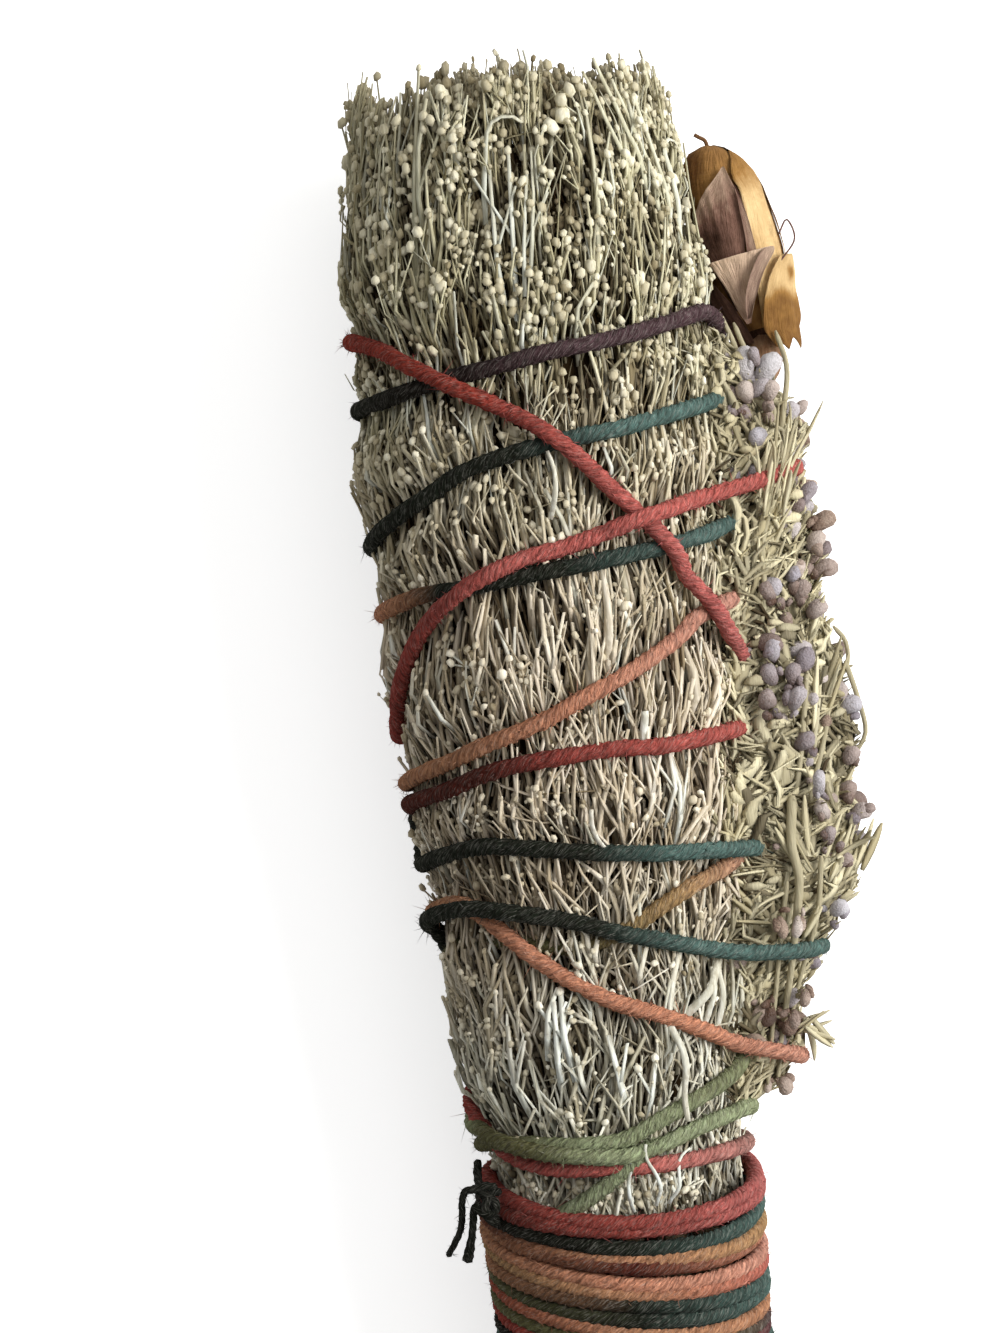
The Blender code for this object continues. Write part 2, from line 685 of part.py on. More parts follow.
def add_petal(name, colour, facing, spread, foot, top, clear, flare, thickness, frame, collection):
    """A petal or sepal that hugs the bud: a grid bent round the bud, given its thickness.

    facing and spread are in degrees round the bud, foot and top are heights, clear is its distance from
    the furled bud, and flare is how far its tip stands away.
    """
    material = make_material(name, COLOURS[colour], 0.8)
    built = bmesh.new()
    bmesh.ops.create_grid(built, x_segments=4, y_segments=5, size=1.0)
    for vert in built.verts:
        side, rise = vert.co.x, (vert.co.y + 1) / 2
        width = math.sin(math.pi * min(1.0, 0.18 + 0.74 * rise)) ** 0.7
        angle = math.radians(facing + side * width * spread / 2)
        height = foot + (top - foot) * (rise - 0.06 * side * side)
        out = max(bud_radius(height), 2.0) + clear + flare * rise**3
        vert.co = Vector((out * math.sin(angle), -out * math.cos(angle), height)) * MM
    petal = add_mesh_object(name, built, material, collection)
    petal.parent = frame
    wall = petal.modifiers.new("wall", "SOLIDIFY")
    wall.thickness = thickness * MM
    wall.offset = 0.0
    return petal


def set_rose(collection):
    """The rosebud: stem with hip, furled petals, three outer petals and three sepals."""
    hip_top = lay_sprig("rose_stem_and_hip", "stalk", ROSE_STEM, collection)
    frame = bpy.data.objects.new("rose_axis", None)
    collection.objects.link(frame)
    frame.location = hip_top
    frame.rotation_euler = (math.radians(-90), 0, math.radians(-ROSE_LEAN))
    material = make_material("rose_furled_petals", COLOURS["rose"], 0.75)
    foot = (BUD_PROFILE[-1][0], 0.0)
    bud = turned("rose_furled_petals", (*BUD_PROFILE, foot), BUD_SIDES, material, collection)
    bud.parent = frame
    add_petal("rose_petal_golden", "rose", 84, 140, 1.2, 22, 1.05, 0.3, PETAL_THICKNESS, frame, collection)
    add_petal("rose_petal_mauve", "rose", -34, 66, 3.4, 17, 0.75, 0.6, PETAL_THICKNESS, frame, collection)
    add_petal("rose_petal_amber", "rose", 70, 100, 0.6, 9, 2.3, 0.6, PETAL_THICKNESS, frame, collection)
    for number, facing in enumerate((-8, 145, 215), 1):
        name = f"rose_sepal_{number}"
        add_petal(name, "sepal", facing, 44, 0.8, 10, 2.1, 1.0, SEPAL_THICKNESS, frame, collection)


def main():
    """Builds the smudge stick."""
    clear_scene()
    stick = make_collection("smudge_stick")
    cutters = make_collection("cutters")
    resting = grow_sage(stick)
    bind_yarn(resting, stick, cutters)
    wind_handle(stick)
    tie_knot(stick, cutters)
    lay_sprig("needle_sprig_upper", "needles", NEEDLE_SPRIG_UPPER, stick)
    lay_sprig("needle_sprig_lower", "needles", NEEDLE_SPRIG_LOWER, stick)
    lay_sprig("lavender_sprig_upper", "lavender", LAVENDER_SPRIG_UPPER, stick)
    lay_sprig("lavender_sprig_lower", "lavender", LAVENDER_SPRIG_LOWER, stick)
    set_rose(stick)


main()
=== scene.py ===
"""The looks of a smudge stick: dried sage bound with hand-dyed yarn, with a rosebud and herbs on one side.

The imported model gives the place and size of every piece. Places on the bunch are given in millimetres:
    turn     degrees round the bunch, 0 at the top, 90 at the flower side, 180 underneath
    along    distance from the cut base towards the tips
    out      distance from the middle of the bunch
"""

import functools
import math
from types import SimpleNamespace

import bmesh
import bpy
import numpy as np
from bpy.props import FloatProperty, FloatVectorProperty, IntProperty, PointerProperty
from mathutils import Matrix, Vector, noise
from mathutils.kdtree import KDTree


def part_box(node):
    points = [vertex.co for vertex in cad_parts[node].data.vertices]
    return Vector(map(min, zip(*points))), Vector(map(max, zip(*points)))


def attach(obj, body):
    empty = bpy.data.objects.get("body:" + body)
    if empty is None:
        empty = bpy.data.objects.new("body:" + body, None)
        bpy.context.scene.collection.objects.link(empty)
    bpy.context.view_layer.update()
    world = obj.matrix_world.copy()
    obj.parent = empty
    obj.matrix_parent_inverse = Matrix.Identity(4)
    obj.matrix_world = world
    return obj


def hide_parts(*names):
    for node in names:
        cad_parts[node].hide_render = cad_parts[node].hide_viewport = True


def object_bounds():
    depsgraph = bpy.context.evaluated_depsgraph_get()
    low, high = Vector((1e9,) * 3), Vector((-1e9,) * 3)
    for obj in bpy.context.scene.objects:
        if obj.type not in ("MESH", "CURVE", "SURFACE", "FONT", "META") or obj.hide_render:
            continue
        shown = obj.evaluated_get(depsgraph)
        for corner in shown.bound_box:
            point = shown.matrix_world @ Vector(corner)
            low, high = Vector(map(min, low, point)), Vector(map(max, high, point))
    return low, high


bl_info = {
    "name": "Smudge Stick",
    "version": (1, 0, 0),
    "blender": (4, 5, 0),
    "location": "View3D > Sidebar > Smudge Stick",
    "description": "Builds a yarn-bound sage stick with a rosebud and herb sprigs",
    "category": "Add Mesh",
}

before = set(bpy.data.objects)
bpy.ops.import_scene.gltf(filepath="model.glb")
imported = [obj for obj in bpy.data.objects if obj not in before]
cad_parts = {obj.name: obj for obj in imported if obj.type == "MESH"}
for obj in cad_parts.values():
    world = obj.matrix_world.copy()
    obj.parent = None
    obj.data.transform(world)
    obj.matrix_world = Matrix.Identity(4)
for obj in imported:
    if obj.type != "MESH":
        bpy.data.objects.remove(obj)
CAD_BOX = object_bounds()

MM = 0.001
SLEEVE = [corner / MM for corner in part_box("yarn_handle_winding")]
AXIS_X = (SLEEVE[0].x + SLEEVE[1].x) / 2
BASE_Y = CAD_BOX[0].y / MM
WINDING_START = SLEEVE[0].y - BASE_Y

# Height of the bunch's middle above the plane that it lies on, and the radius that the yarn ties it to.
AXIS_HEIGHT = ((0, 20.2), (57, 20.2), (80, 21.3), (107, 23.2), (134, 24), (162, 24.6), (212, 24.9))
TIED_RADIUS = (
    (0, 14.8), (57, 15.2), (64, 17.6), (72, 18), (82, 18.6), (92, 19.8), (107, 21.7), (120, 22.4),
    (134, 22.8), (146, 23.5), (162, 23.2), (176, 23.5), (189, 22.2), (212, 19),
)
# How far the loose foliage stands out over the tied radius between two passes of the yarn, round the bunch
# and on the flower side.
FOLIAGE_BULGE = ((50, 1.4), (57, 2), (66, 2.5), (107, 2.8), (162, 2.8), (178, 2.5), (192, 2), (206, 1.2))
FLOWER_SIDE_BULGE = (
    (50, 1.2), (66, 1.5), (80, 1.5), (164, 1.5), (172, 1), (178, 0.5), (195, 0.2), (206, 0.1),
)

# The lumps of the foliage's surface, how far the yarn draws it in on either side, and the part of the stick
# that its grid covers, with the grid's step.
LUMP_HEIGHT = 0.65
DRAWN_IN = 5.6
SURFACE_START = 50.0
SURFACE_END = 216.5
SURFACE_STEP = 0.5
# The turn at the middle of the flower side.
FLOWER_TURN = 92

# The sage sprigs: one in the middle, six round it and twelve outside, of which the lowest is wider. Stems
# stand on rings round the middle, and tips are distances from the cut base.
OUTER_SPRIGS = 12
REST_HALF_ANGLE = 20.0
OUTER_HALF_ANGLE = (180.0 - REST_HALF_ANGLE) / (OUTER_SPRIGS - 1)
OUTER_STEM_RING = 12.1
INNER_STEM_RING = 6.1
STEM_RADIUS = 2.5
OUTER_TIPS = (204, 201, 203.5, 200, 202, 199, 200, 198.5, 201, 203, 200.5, 202.5)
INNER_TIPS = (206, 204.5, 205.5, 203.5, 205, 206.5)
CENTRE_TIP = 207.0

# The yarn's thickness, how far it lies over the sage, the step of its route, and how far everything stays
# over the floor.
YARN_DIAMETER = 2.3
YARN_CLEARANCE = 0.65
YARN_STEP = 1.1
FLOOR_CLEARANCE = 0.1
# How much thinner the yarn is pressed where it crosses itself, over what distance it rises to a crossing,
# and the most passes that lie on each other.
CROSSING_SQUASH = 0.35
CROSSING_RUN = 11.0
MOST_STACKED = 4

# The criss-cross yarn, one group for each turn round the bunch, from the left side over the top, down the
# flower side, underneath and back to the left. Each point is turn, along and, if it has one, stand-off. Last
# come the dyes along it, by their turn. Between two places one dye runs into the next. The dyes run darker
# on
# the left side, partly as painted shade: the dark green there is partly the teal in shade.
YARN_TURNS = (
    (
        (-95, 61), (-64, 62.4), (-40, 62.6), (-18, 62.2), (-4, 62.3), (5, 62.8), (14, 64.2), (30, 66.2),
        (40, 67.2), (50, 68.2), (63, 69.8), (76, 72.6), (90, 75.6), (120, 79.4), (140, 81.5), (155, 82.6),
        (180, 84.2), (205, 85.4), (240, 86.8),
        {-95: "olive", -48: "olive", -12: "leaf_green", 120: "olive", 200: "olive"},
    ),
    (
        (-90, 87.8, -1), (-60, 90.3, -2.2), (-33, 89.8, -2.4), (-10, 88.8, -2.2), (10, 90.4, -1.2), (35, 95),
        (58, 97.4), (76, 99.6), (92, 101.2), (130, 102.8), (180, 105.3), (230, 107.5),
        {-90: "olive", -10: "olive", 30: "ochre", 80: "salmon", 160: "brick", 240: "maroon"},
    ),
    (
        (-90, 109), (-53, 110.7), (-34, 112.6), (-19, 113.7), (1, 114.3), (13, 114.5), (26, 114.2),
        (42, 114.6), (69, 115.4), (85, 116), (120, 115.2), (180, 113.8), (230, 112.4),
        {-90: "maroon", -30: "maroon", -5: "crimson", 90: "coral", 180: "salmon", 240: "tan"},
    ),
    (
        (-90, 112), (-52, 114.2), (-33, 116.3), (-12, 118.8), (2, 121.4), (15, 123.7), (30, 126.8),
        (38, 128.7), (48, 131), (77, 133.2), (120, 134.8), (180, 134.8), (230, 135),
        {-90: "tan", -40: "tan", 0: "peach", 60: "salmon", 150: "peach", 240: "peach"},
    ),
    (
        (-90, 135.4), (-61, 136.4), (-50, 137), (-30, 137.4), (-7, 138.3), (6, 138.8), (18, 139.4),
        (32, 140.1), (51, 141.4), (70, 143), (85, 144), (130, 144.3), (180, 144.2), (230, 144.4),
        {-90: "peach", -62: "tan", -40: "pine", 0: "pine", 50: "teal", 150: "teal", 240: "pine"},
    ),
    (
        (-90, 144.7), (-71, 146), (-44, 149.4), (-28, 152.3), (-15, 153.7), (-3, 154.6), (10, 155.4),
        (22, 156), (37, 157.2), (56, 158.6), (85, 160.7), (130, 162.6), (180, 163.2), (230, 163.3),
        {-90: "pine", -10: "pine", 20: "teal", 80: "teal", 180: "pine", 240: "pine"},
    ),
    (
        (-90, 163.3), (-61, 163.4), (-40, 164.2), (-25, 164.9), (-12, 165.6), (0, 166.5), (12, 167.1),
        (25, 167.9), (40, 169.2), (62, 171.1), (74, 170.6), (88, 169.5), (106, 169.4), (128, 170.8),
        (152, 172.6), (180, 173.6), (230, 173.7),
        {-90: "pine", -30: "night", 10: "plum", 90: "plum", 180: "maroon", 240: "brick"},
    ),
    (
        (-90, 173), (-58, 170.5), (-40, 167), (-26, 163.4), (-13, 160), (-2, 156.7), (9, 152), (26, 143.8),
        (39, 136.7), (47, 132.3), (57, 127.9), (72, 123.6), (86, 119.8), (102, 118.4), (140, 118.2),
        (180, 118.4), (205, 118.6), (240, 119),
        {-90: "brick", -20: "brick", 20: "coral", 80: "rose", 180: "crimson", 240: "crimson"},
    ),
    (
        (-90, 119), (-70, 125.6), (-53, 131.7), (-43, 134.4), (-34, 136), (-26, 137.8), (-12, 140.2),
        (0, 141.1), (12, 142.4), (24, 144.1), (41, 145.6), (53, 146.5, 0.6), (66, 147.8, 4.2),
        (78, 149.2, 7.5), (90, 149.6, 8.5), (103, 147.4, 7.4), (118, 141, 2.2), (133, 135.5), (155, 130),
        (180, 126), (205, 122.5), (218, 117.6), (232, 112), (250, 106),
        {-90: "crimson", -50: "crimson", -10: "coral", 90: "coral", 160: "plum", 240: "pine"},
    ),
    (
        (-90, 100.9), (-60, 102.1), (-42, 103.1), (-30, 103.1), (-16, 102.3), (-3, 101.5), (10, 100.8),
        (23, 100.2), (38, 99.8), (61, 99.1), (84, 98.4), (102, 97.6), (140, 96.6), (180, 96.2), (230, 95),
        {-90: "pine", 0: "pine", 30: "teal", 100: "teal", 170: "ochre", 240: "tan"},
    ),
    (
        (-90, 94), (-57, 95.6), (-44, 94), (-36, 91.7), (-21, 87), (-8, 83.6), (5, 80.9), (20, 78.8),
        (36, 76.3), (49, 74.3, 0.1), (58, 72.8, 0.9), (70, 71, 4.6), (80, 69.8, 6.6), (90, 69.1, 7),
        (102, 70.2, 6.6), (115, 72.5, 3.2), (128, 75, 0.4), (140, 76.6), (155, 78), (180, 80), (205, 82.3),
        (236, 86.8),
        {-90: "tan", -50: "tan", -30: "peach", 40: "peach", 100: "salmon", 180: "teal", 240: "pine"},
    ),
    (
        (-90, 91.4), (-70, 93.8), (-47, 95.1), (-34, 94.6), (-19, 93.4), (-6, 92.1), (7, 90.3), (21, 88.8),
        (36, 87.2, 0.2), (48, 86, 1.2), (60, 85, 3.4), (75, 84.2, 7.9), (90, 83.9, 10.6), (104, 82.7, 9.6),
        (118, 80, 5), (130, 78, 0.6), (140, 76), (155, 73.8), (180, 71.5), (205, 69.6), (240, 66.9),
        {-90: "pine", 0: "pine", 40: "teal", 110: "teal", 180: "olive", 240: "olive"},
    ),
    (
        (-90, 64.6), (-64, 64.2), (-30, 61.8), (-6, 60.6), (5, 60.5), (16, 61), (31, 62.4), (47, 63.3),
        (72, 63.6), (100, 62),
        {-90: "leaf_green", -60: "olive", -34: "olive", -4: "leaf_green", 100: "leaf_green"},
    ),
)


def from_screen(red, green, blue):
    """A colour in linear values from its 0 to 255 screen values."""
    shares = np.array((red, green, blue)) / 255
    linear = np.where(shares <= 0.04045, shares / 12.92, ((shares + 0.055) / 1.055) ** 2.4)
    return tuple(float(value) for value in linear)


def colour_setting(name, description, colour):
    """A colour that the user can change, from its 0 to 255 screen values."""
    limits = {"subtype": "COLOR", "size": 3, "min": 0.0, "max": 1.0}
    return FloatVectorProperty(name=name, description=description, default=from_screen(*colour), **limits)


def number_setting(name, description, default, lowest, highest, kind=FloatProperty, **unit):
    """A number that the user can change."""
    return kind(name=name, description=description, default=default, min=lowest, max=highest, **unit)


class SageSettings(bpy.types.PropertyGroup):
    """Sizes and colours of the sage"""

    fullness: number_setting("Fullness", "Stalks and twigs on a square millimetre", 0.84, 0.1, 1.5)
    stalk_width: number_setting("Stalk Width", "Width of a common stalk, in millimetres", 0.53, 0.2, 2.0)
    bud_width: number_setting("Bud Width", "Width of a common bud, in millimetres", 0.74, 0.3, 3.0)
    seed: number_setting("Seed", "Changes how the foliage falls", 7, 0, 999, IntProperty)
    silver_colour: colour_setting("Silver Stalks", "The stalks near the handle", (226, 224, 208))
    stalk_colour: colour_setting("Stalks", "The stalks half way up", (226, 212, 190))
    olive_colour: colour_setting("Greener Stalks", "The stalks near the tips", (200, 195, 162))
    bud_colour: colour_setting("Buds", "The dry buds", (240, 232, 208))
    grey_colour: colour_setting("Silvery Leaves", "The silvery leaves", (214, 218, 208))
    shaded_colour: colour_setting("Shaded Stalks", "The stalks deep in the bunch", (66, 46, 24))
    heart_shade_colour: colour_setting("Heart", "The shaded heart of the bunch", (46, 34, 18))
    bark_colour: colour_setting("Bark", "The cut stems", (122, 100, 72))


# The yarn's dyes. The dark green is partly the yarn's own dye and partly painted shade: the teal where it
# lies on the shaded left side.
DYES = {
    "leaf_green": (178, 192, 148), "olive": (120, 120, 80), "ochre": (200, 164, 112), "tan": (216, 158, 118),
    "peach": (238, 166, 130), "salmon": (238, 176, 154), "coral": (224, 120, 110), "mauve": (202, 160, 148),
    "rose": (218, 128, 122), "crimson": (178, 84, 74), "brick": (176, 74, 60), "maroon": (102, 48, 38),
    "plum": (98, 76, 80), "night": (34, 28, 22), "pine": (38, 44, 34), "teal": (100, 132, 124),
}


class YarnSettings(bpy.types.PropertyGroup):
    """Make and dyes of the yarn"""

    plies: number_setting("Plies", "How many strands are twisted together", 5, 2, 6, IntProperty)
    ply_lead: number_setting("Ply Lead", "Length of one twist of a strand, in millimetres", 7.0, 2.0, 20.0)
    fuzz_per_mm: number_setting("Fuzz", "Loose fibres on a millimetre of yarn", 5.0, 0.0, 9.0)
    winding_pitch: number_setting(
        "Winding Pitch", "Distance between two turns on the handle, in millimetres", 1.78, 1.5, 4.0
    )


YarnSettings.__annotations__ |= {
    dye: colour_setting(dye.replace("_", " ").title(), "A dye of the yarn", colour)
    for dye, colour in DYES.items()
}


class HerbSettings(bpy.types.PropertyGroup):
    """Fullness and colours of the needle and lavender sprigs"""

    needles_in_whorl: number_setting("Needles", "Needles round each place of a sprig", 5, 2, 12, IntProperty)
    buds_in_whorl: number_setting("Buds", "Buds round each place of a lavender sprig", 4, 2, 9, IntProperty)
    fullness: number_setting("Fullness", "Leaves on a square millimetre of the herbs", 1.25, 0.1, 2.0)
    needle_colour: colour_setting("Needles", "The dry needles", (236, 227, 192))
    needle_grey: colour_setting("Greyer Needles", "The duller needles", (182, 170, 134))
    needle_shade: colour_setting("Shaded Needles", "The needles deep in a sprig", (60, 47, 27))
    bud_pink: colour_setting("Pinkish Buds", "The beige and pink buds", (206, 182, 162))
    bud_lilac: colour_setting("Lilac Buds", "The lilac and grey buds", (182, 178, 190))
    bud_brown_and_shade: colour_setting("Bud Feet", "The buds where they are darkest", (92, 70, 58))


class RoseSettings(bpy.types.PropertyGroup):
    """Colours of the rosebud"""

    gold_dark: colour_setting("Dark Gold", "Golden petals where they are darkest", (88, 54, 26))
    gold_middle: colour_setting("Gold", "Golden petals", (152, 112, 60))
    gold_pale: colour_setting("Pale Gold", "Golden petals where they are palest", (222, 190, 138))
    mauve_dark: colour_setting("Dark Mauve", "Mauve petals where they are darkest", (40, 24, 18))
    mauve_middle: colour_setting("Mauve", "Mauve petals", (116, 86, 78))
    mauve_pale: colour_setting("Pale Mauve", "Mauve petals where they are palest", (212, 184, 160))


class StageSettings(bpy.types.PropertyGroup):
    """Floor, light and camera"""

    floor_colour: colour_setting("Floor", "Colour of the floor", (247, 247, 246))
    view_distance: number_setting(
        "View Distance", "Distance of the camera from what it looks at", 0.452, 0.2, 3.0,
        unit="LENGTH", subtype="DISTANCE",
    )
    key_power: number_setting("Key Light", "Power of the main lamp", 5.6, 0.0, 100.0)
    fill_level: number_setting("Fill Light", "Strength of the light all round", 0.3, 0.0, 10.0)


def profile(stations, along):
    """The value of a profile at distances along the stick."""
    alongs, values = zip(*stations)
    return np.interp(along, alongs, values)


def noise_at(x, y, z):
    """Smooth noise at places, each given by its three coordinates."""
    return np.array([noise.noise(Vector(spot)) for spot in np.broadcast(x, y, z)])


def unit(vectors):
    """Directions with a length of 1."""
    return vectors / np.linalg.norm(vectors, axis=-1, keepdims=True)


def eased(share):
    """A share from 0 to 1 that starts and ends gently."""
    return share * share * (3 - 2 * share)


def measured(points):
    """The distance travelled to each point of a line."""
    return np.concatenate(([0], np.cumsum(np.linalg.norm(np.diff(points, axis=0), axis=1))))


def search_tree(points):
    """Finds the number of the point nearest to a place."""
    tree = KDTree(len(points))
    for index, point in enumerate(points):
        tree.insert(point, index)
    tree.balance()
    return tree


def stacked(*columns):
    """Rows from their columns, each an array or one value for all."""
    return np.stack(np.broadcast_arrays(*columns), axis=-1)


def aside_place(along, lateral, up):
    """Points in metres from distances along the stick, to the flower side and over the bunch's middle."""
    return stacked(AXIS_X + lateral, BASE_Y + along, profile(AXIS_HEIGHT, along) + up) * MM


def place(turn, along, out):
    """Points in metres from turns in degrees, distances along the stick and distances from the middle."""
    angle = np.radians(turn)
    return aside_place(along, out * np.sin(angle), out * np.cos(angle))


def settle(points, softness=0.5):
    """Points pressed flat where they would reach below the plane that the stick lies on, in metres."""
    settled = points.copy()
    height = points[..., 2] / MM - FLOOR_CLEARANCE
    pressed = FLOOR_CLEARANCE + softness * np.logaddexp(0, height / softness)
    settled[..., 2] = np.where(height < 6 * softness, pressed * MM, points[..., 2])
    return settled


def smooth_line(points, step):
    """Points a step apart on a smooth curve through the given points, which may have any number of values.

    The first three values are a place, and steps are measured along them.
    """
    points = np.array(points, float)
    ends = np.vstack((2 * points[0] - points[1], points, 2 * points[-1] - points[-2]))
    fine = []
    shares = np.linspace(0, 1, 12, endpoint=False)[:, None]
    for before, start, end, after in zip(ends, ends[1:], ends[2:], ends[3:]):
        bend = (2 * before - 5 * start + 4 * end - after) * shares**2
        twist = (3 * start - before - 3 * end + after) * shares**3
        fine.append(0.5 * (2 * start + (end - before) * shares + bend + twist))
    fine = np.vstack((*fine, points[-1:]))
    travelled = measured(fine[:, :3])
    count = max(2, round(travelled[-1] / step) + 1)
    wanted = np.linspace(0, travelled[-1], count)
    return np.column_stack([np.interp(wanted, travelled, column) for column in fine.T])


def yarn_seat(turn, along):
    """Distance from the middle at which yarn lies on the sage, or just above the plane underneath."""
    on_sage = profile(TIED_RADIUS, along) + YARN_DIAMETER / 2 + YARN_CLEARANCE
    height = profile(AXIS_HEIGHT, along) - YARN_DIAMETER / 2 - FLOOR_CLEARANCE
    down = -np.cos(np.radians(turn))
    return np.where(down > 0.5, np.minimum(on_sage, height / np.maximum(down, 0.5)), on_sage)


def lift_over_crossings(turns, alongs, outs, step):
    """How far each point of the yarn is lifted so that it passes over the turns wound before it."""
    radii = profile(TIED_RADIUS, alongs)
    round_gaps = (turns[None] - turns[:, None] + 180) % 360 - 180
    gaps = np.hypot(np.radians(round_gaps) * radii[:, None], alongs[None] - alongs[:, None])
    earlier = turns[None] < turns[:, None] - 180
    thickness = YARN_DIAMETER - CROSSING_SQUASH
    needed = np.sqrt(np.clip(thickness**2 - gaps**2, 0, None))
    index = np.arange(len(turns))
    spread = np.clip(np.abs(index[None] - index[:, None]) * step / CROSSING_RUN, 0, 1)
    fall = 0.5 + 0.5 * np.cos(math.pi * spread)
    free = np.clip((np.abs(turns % 360 - 180) - REST_HALF_ANGLE - 3) / 8, 0, 1)
    lifts = np.zeros(len(turns))
    for _ in range(MOST_STACKED):
        below = (outs + lifts)[None] + needed - outs[:, None]
        asked = np.where(earlier & (needed > 0), below, 0).max(axis=1)
        lifts = (asked[None] * fall).max(axis=1) * free
    return lifts


@functools.lru_cache
def yarn_route():
    """The criss-cross yarn as rows of turn, along, out and stand-off, a step apart."""
    route = []
    for number, (*points, _) in enumerate(YARN_TURNS):
        for turn, along, *off in points:
            turn += 360 * number
            arc = math.radians(turn) * float(profile(TIED_RADIUS, along))
            route.append((arc, along, 0.0, turn, *(off or (0.0,))))
    samples = smooth_line(route, YARN_STEP)
    turns, alongs, offs = samples[:, 3], samples[:, 1], samples[:, 4]
    outs = yarn_seat(turns, alongs) + offs
    lifts = lift_over_crossings(turns, alongs, outs, YARN_STEP)
    return np.column_stack((turns, alongs, outs + lifts, offs + lifts))


@functools.lru_cache
def foliage_surface():
    """Distance of the foliage's surface from the middle, on a grid of one degree by half a millimetre.

    It stands proud between the passes of the yarn and is drawn in under them.
    """
    route = yarn_route()
    held = route[(route[:, 3] > -0.8) & (route[:, 3] < 1.6)]
    laps = [(turn % 360 + lap, along) for lap in (-360, 0, 360) for turn, along, _, _ in held]
    rounds = [(math.radians(turn) * profile(TIED_RADIUS, along), along, 0) for turn, along in laps]
    arcs = search_tree(rounds)
    turns = np.arange(361.0)
    alongs = np.arange(SURFACE_START, SURFACE_END, SURFACE_STEP)
    tied = profile(TIED_RADIUS, alongs)
    away = np.empty((len(turns), len(alongs)))
    lumps = np.empty_like(away)
    for row, turn in enumerate(turns):
        angle = math.radians(turn)
        for column, along in enumerate(alongs):
            away[row, column] = arcs.find((angle * tied[column], along, 0))[2]
            spot = Vector((20 * math.sin(angle), 20 * math.cos(angle), along * 0.55))
            lumps[row, column] = noise.noise(spot / 6.5) + 0.5 * noise.noise(spot / 2.6 + Vector((9, 3, 1)))
    rise = eased(np.clip((away - 0.7) / DRAWN_IN, 0, 1))
    for _ in range(3):
        rise[:, 2:-2] = (rise[:, :-4] + rise[:, 1:-3] + rise[:, 2:-2] + rise[:, 3:-1] + rise[:, 4:]) / 5
    by_flowers = np.clip(1.9 - np.abs(turns - FLOWER_TURN) / 34, 0, 1)[:, None]
    bulge = profile(FOLIAGE_BULGE, alongs) * (1 - by_flowers)
    bulge = bulge + profile(FLOWER_SIDE_BULGE, alongs) * by_flowers
    return tied[None] + 0.3 + (bulge - 0.3) * rise + LUMP_HEIGHT * lumps * (0.35 + 0.65 * rise)


def surface_out(turn, along):
    """The foliage surface's distance from the middle at any places."""
    grid = foliage_surface()
    row = np.mod(turn, 360.0)
    column = np.clip((along - SURFACE_START) / SURFACE_STEP, 0, grid.shape[1] - 1.001)
    low_row, low_column = row.astype(int), column.astype(int)
    row_share, column_share = row - low_row, column - low_column
    near = grid[low_row, low_column] * (1 - row_share) + grid[low_row + 1, low_column] * row_share
    far = grid[low_row, low_column + 1] * (1 - row_share) + grid[low_row + 1, low_column + 1] * row_share
    return near * (1 - column_share) + far * column_share


def as_arrays(built):
    """The corners and triangles of a small closed bmesh, which is freed."""
    bmesh.ops.triangulate(built, faces=built.faces)
    bmesh.ops.recalc_face_normals(built, faces=built.faces)
    built.verts.index_update()
    corners = np.array([tuple(vert.co) for vert in built.verts])
    triangles = np.array([[vert.index for vert in face.verts] for face in built.faces])
    built.free()
    return corners, triangles


def rod(sides, cuts=(), top=1.0):
    """A closed straight body of radius 1 and height 1, cut across at heights so that it can bend."""
    built = bmesh.new()
    lifted = Matrix.Translation((0, 0, 0.5))
    size = {"radius1": 1, "radius2": top, "depth": 1}
    bmesh.ops.create_cone(built, cap_ends=True, segments=sides, matrix=lifted, **size)
    bmesh.ops.remove_doubles(built, verts=built.verts, dist=0.001)
    for cut in cuts:
        everything = [*built.verts, *built.edges, *built.faces]
        bmesh.ops.bisect_plane(built, geom=everything, plane_co=(0, 0, cut), plane_no=(0, 0, 1))
    return as_arrays(built)


def limb(segments, start=0.0, end=1.0, aside=0.0, width=1.0, flat=1.0, sides=3):
    """A stalk or side twig that covers its stalk's length from one share of it to another.

    Shapes for strewing have rows of across, lift, ahead, share of the length, distance aside as a share of
    the length, and 1 on a bud.
    """
    corners, triangles = rod(sides, [cut / segments for cut in range(1, segments)])
    across, lift, rise = corners.T
    height = start + (end - start) * rise
    return stacked(across * width, lift * width * flat, 0, height, aside * rise, 0), triangles


def bud(share=1.0, aside=0.0, length=1.3, size=1.0, seed=0):
    """A small lumpy bud of about radius 1 on a place of its stalk."""
    built = bmesh.new()
    bmesh.ops.create_icosphere(built, subdivisions=1, radius=1.0)
    corners, triangles = as_arrays(built)
    corners = corners * size * (1 + np.random.default_rng(seed).uniform(-0.24, 0.24, (len(corners), 1)))
    return stacked(corners[:, 0], corners[:, 1], corners[:, 2] * length + 0.5, share, aside, 1), triangles


def repeated(triangles, copies, corners):
    """The triangles of several copies of a shape that has a number of corners."""
    return (triangles[None] + np.arange(copies)[:, None, None] * corners).reshape(-1, 3)


def joined_shape(*shapes):
    """Several unit shapes as one."""
    rows, triangles = zip(*shapes)
    starts = np.cumsum([0, *map(len, rows)])
    return np.vstack(rows), np.vstack([these + start for these, start in zip(triangles, starts)])


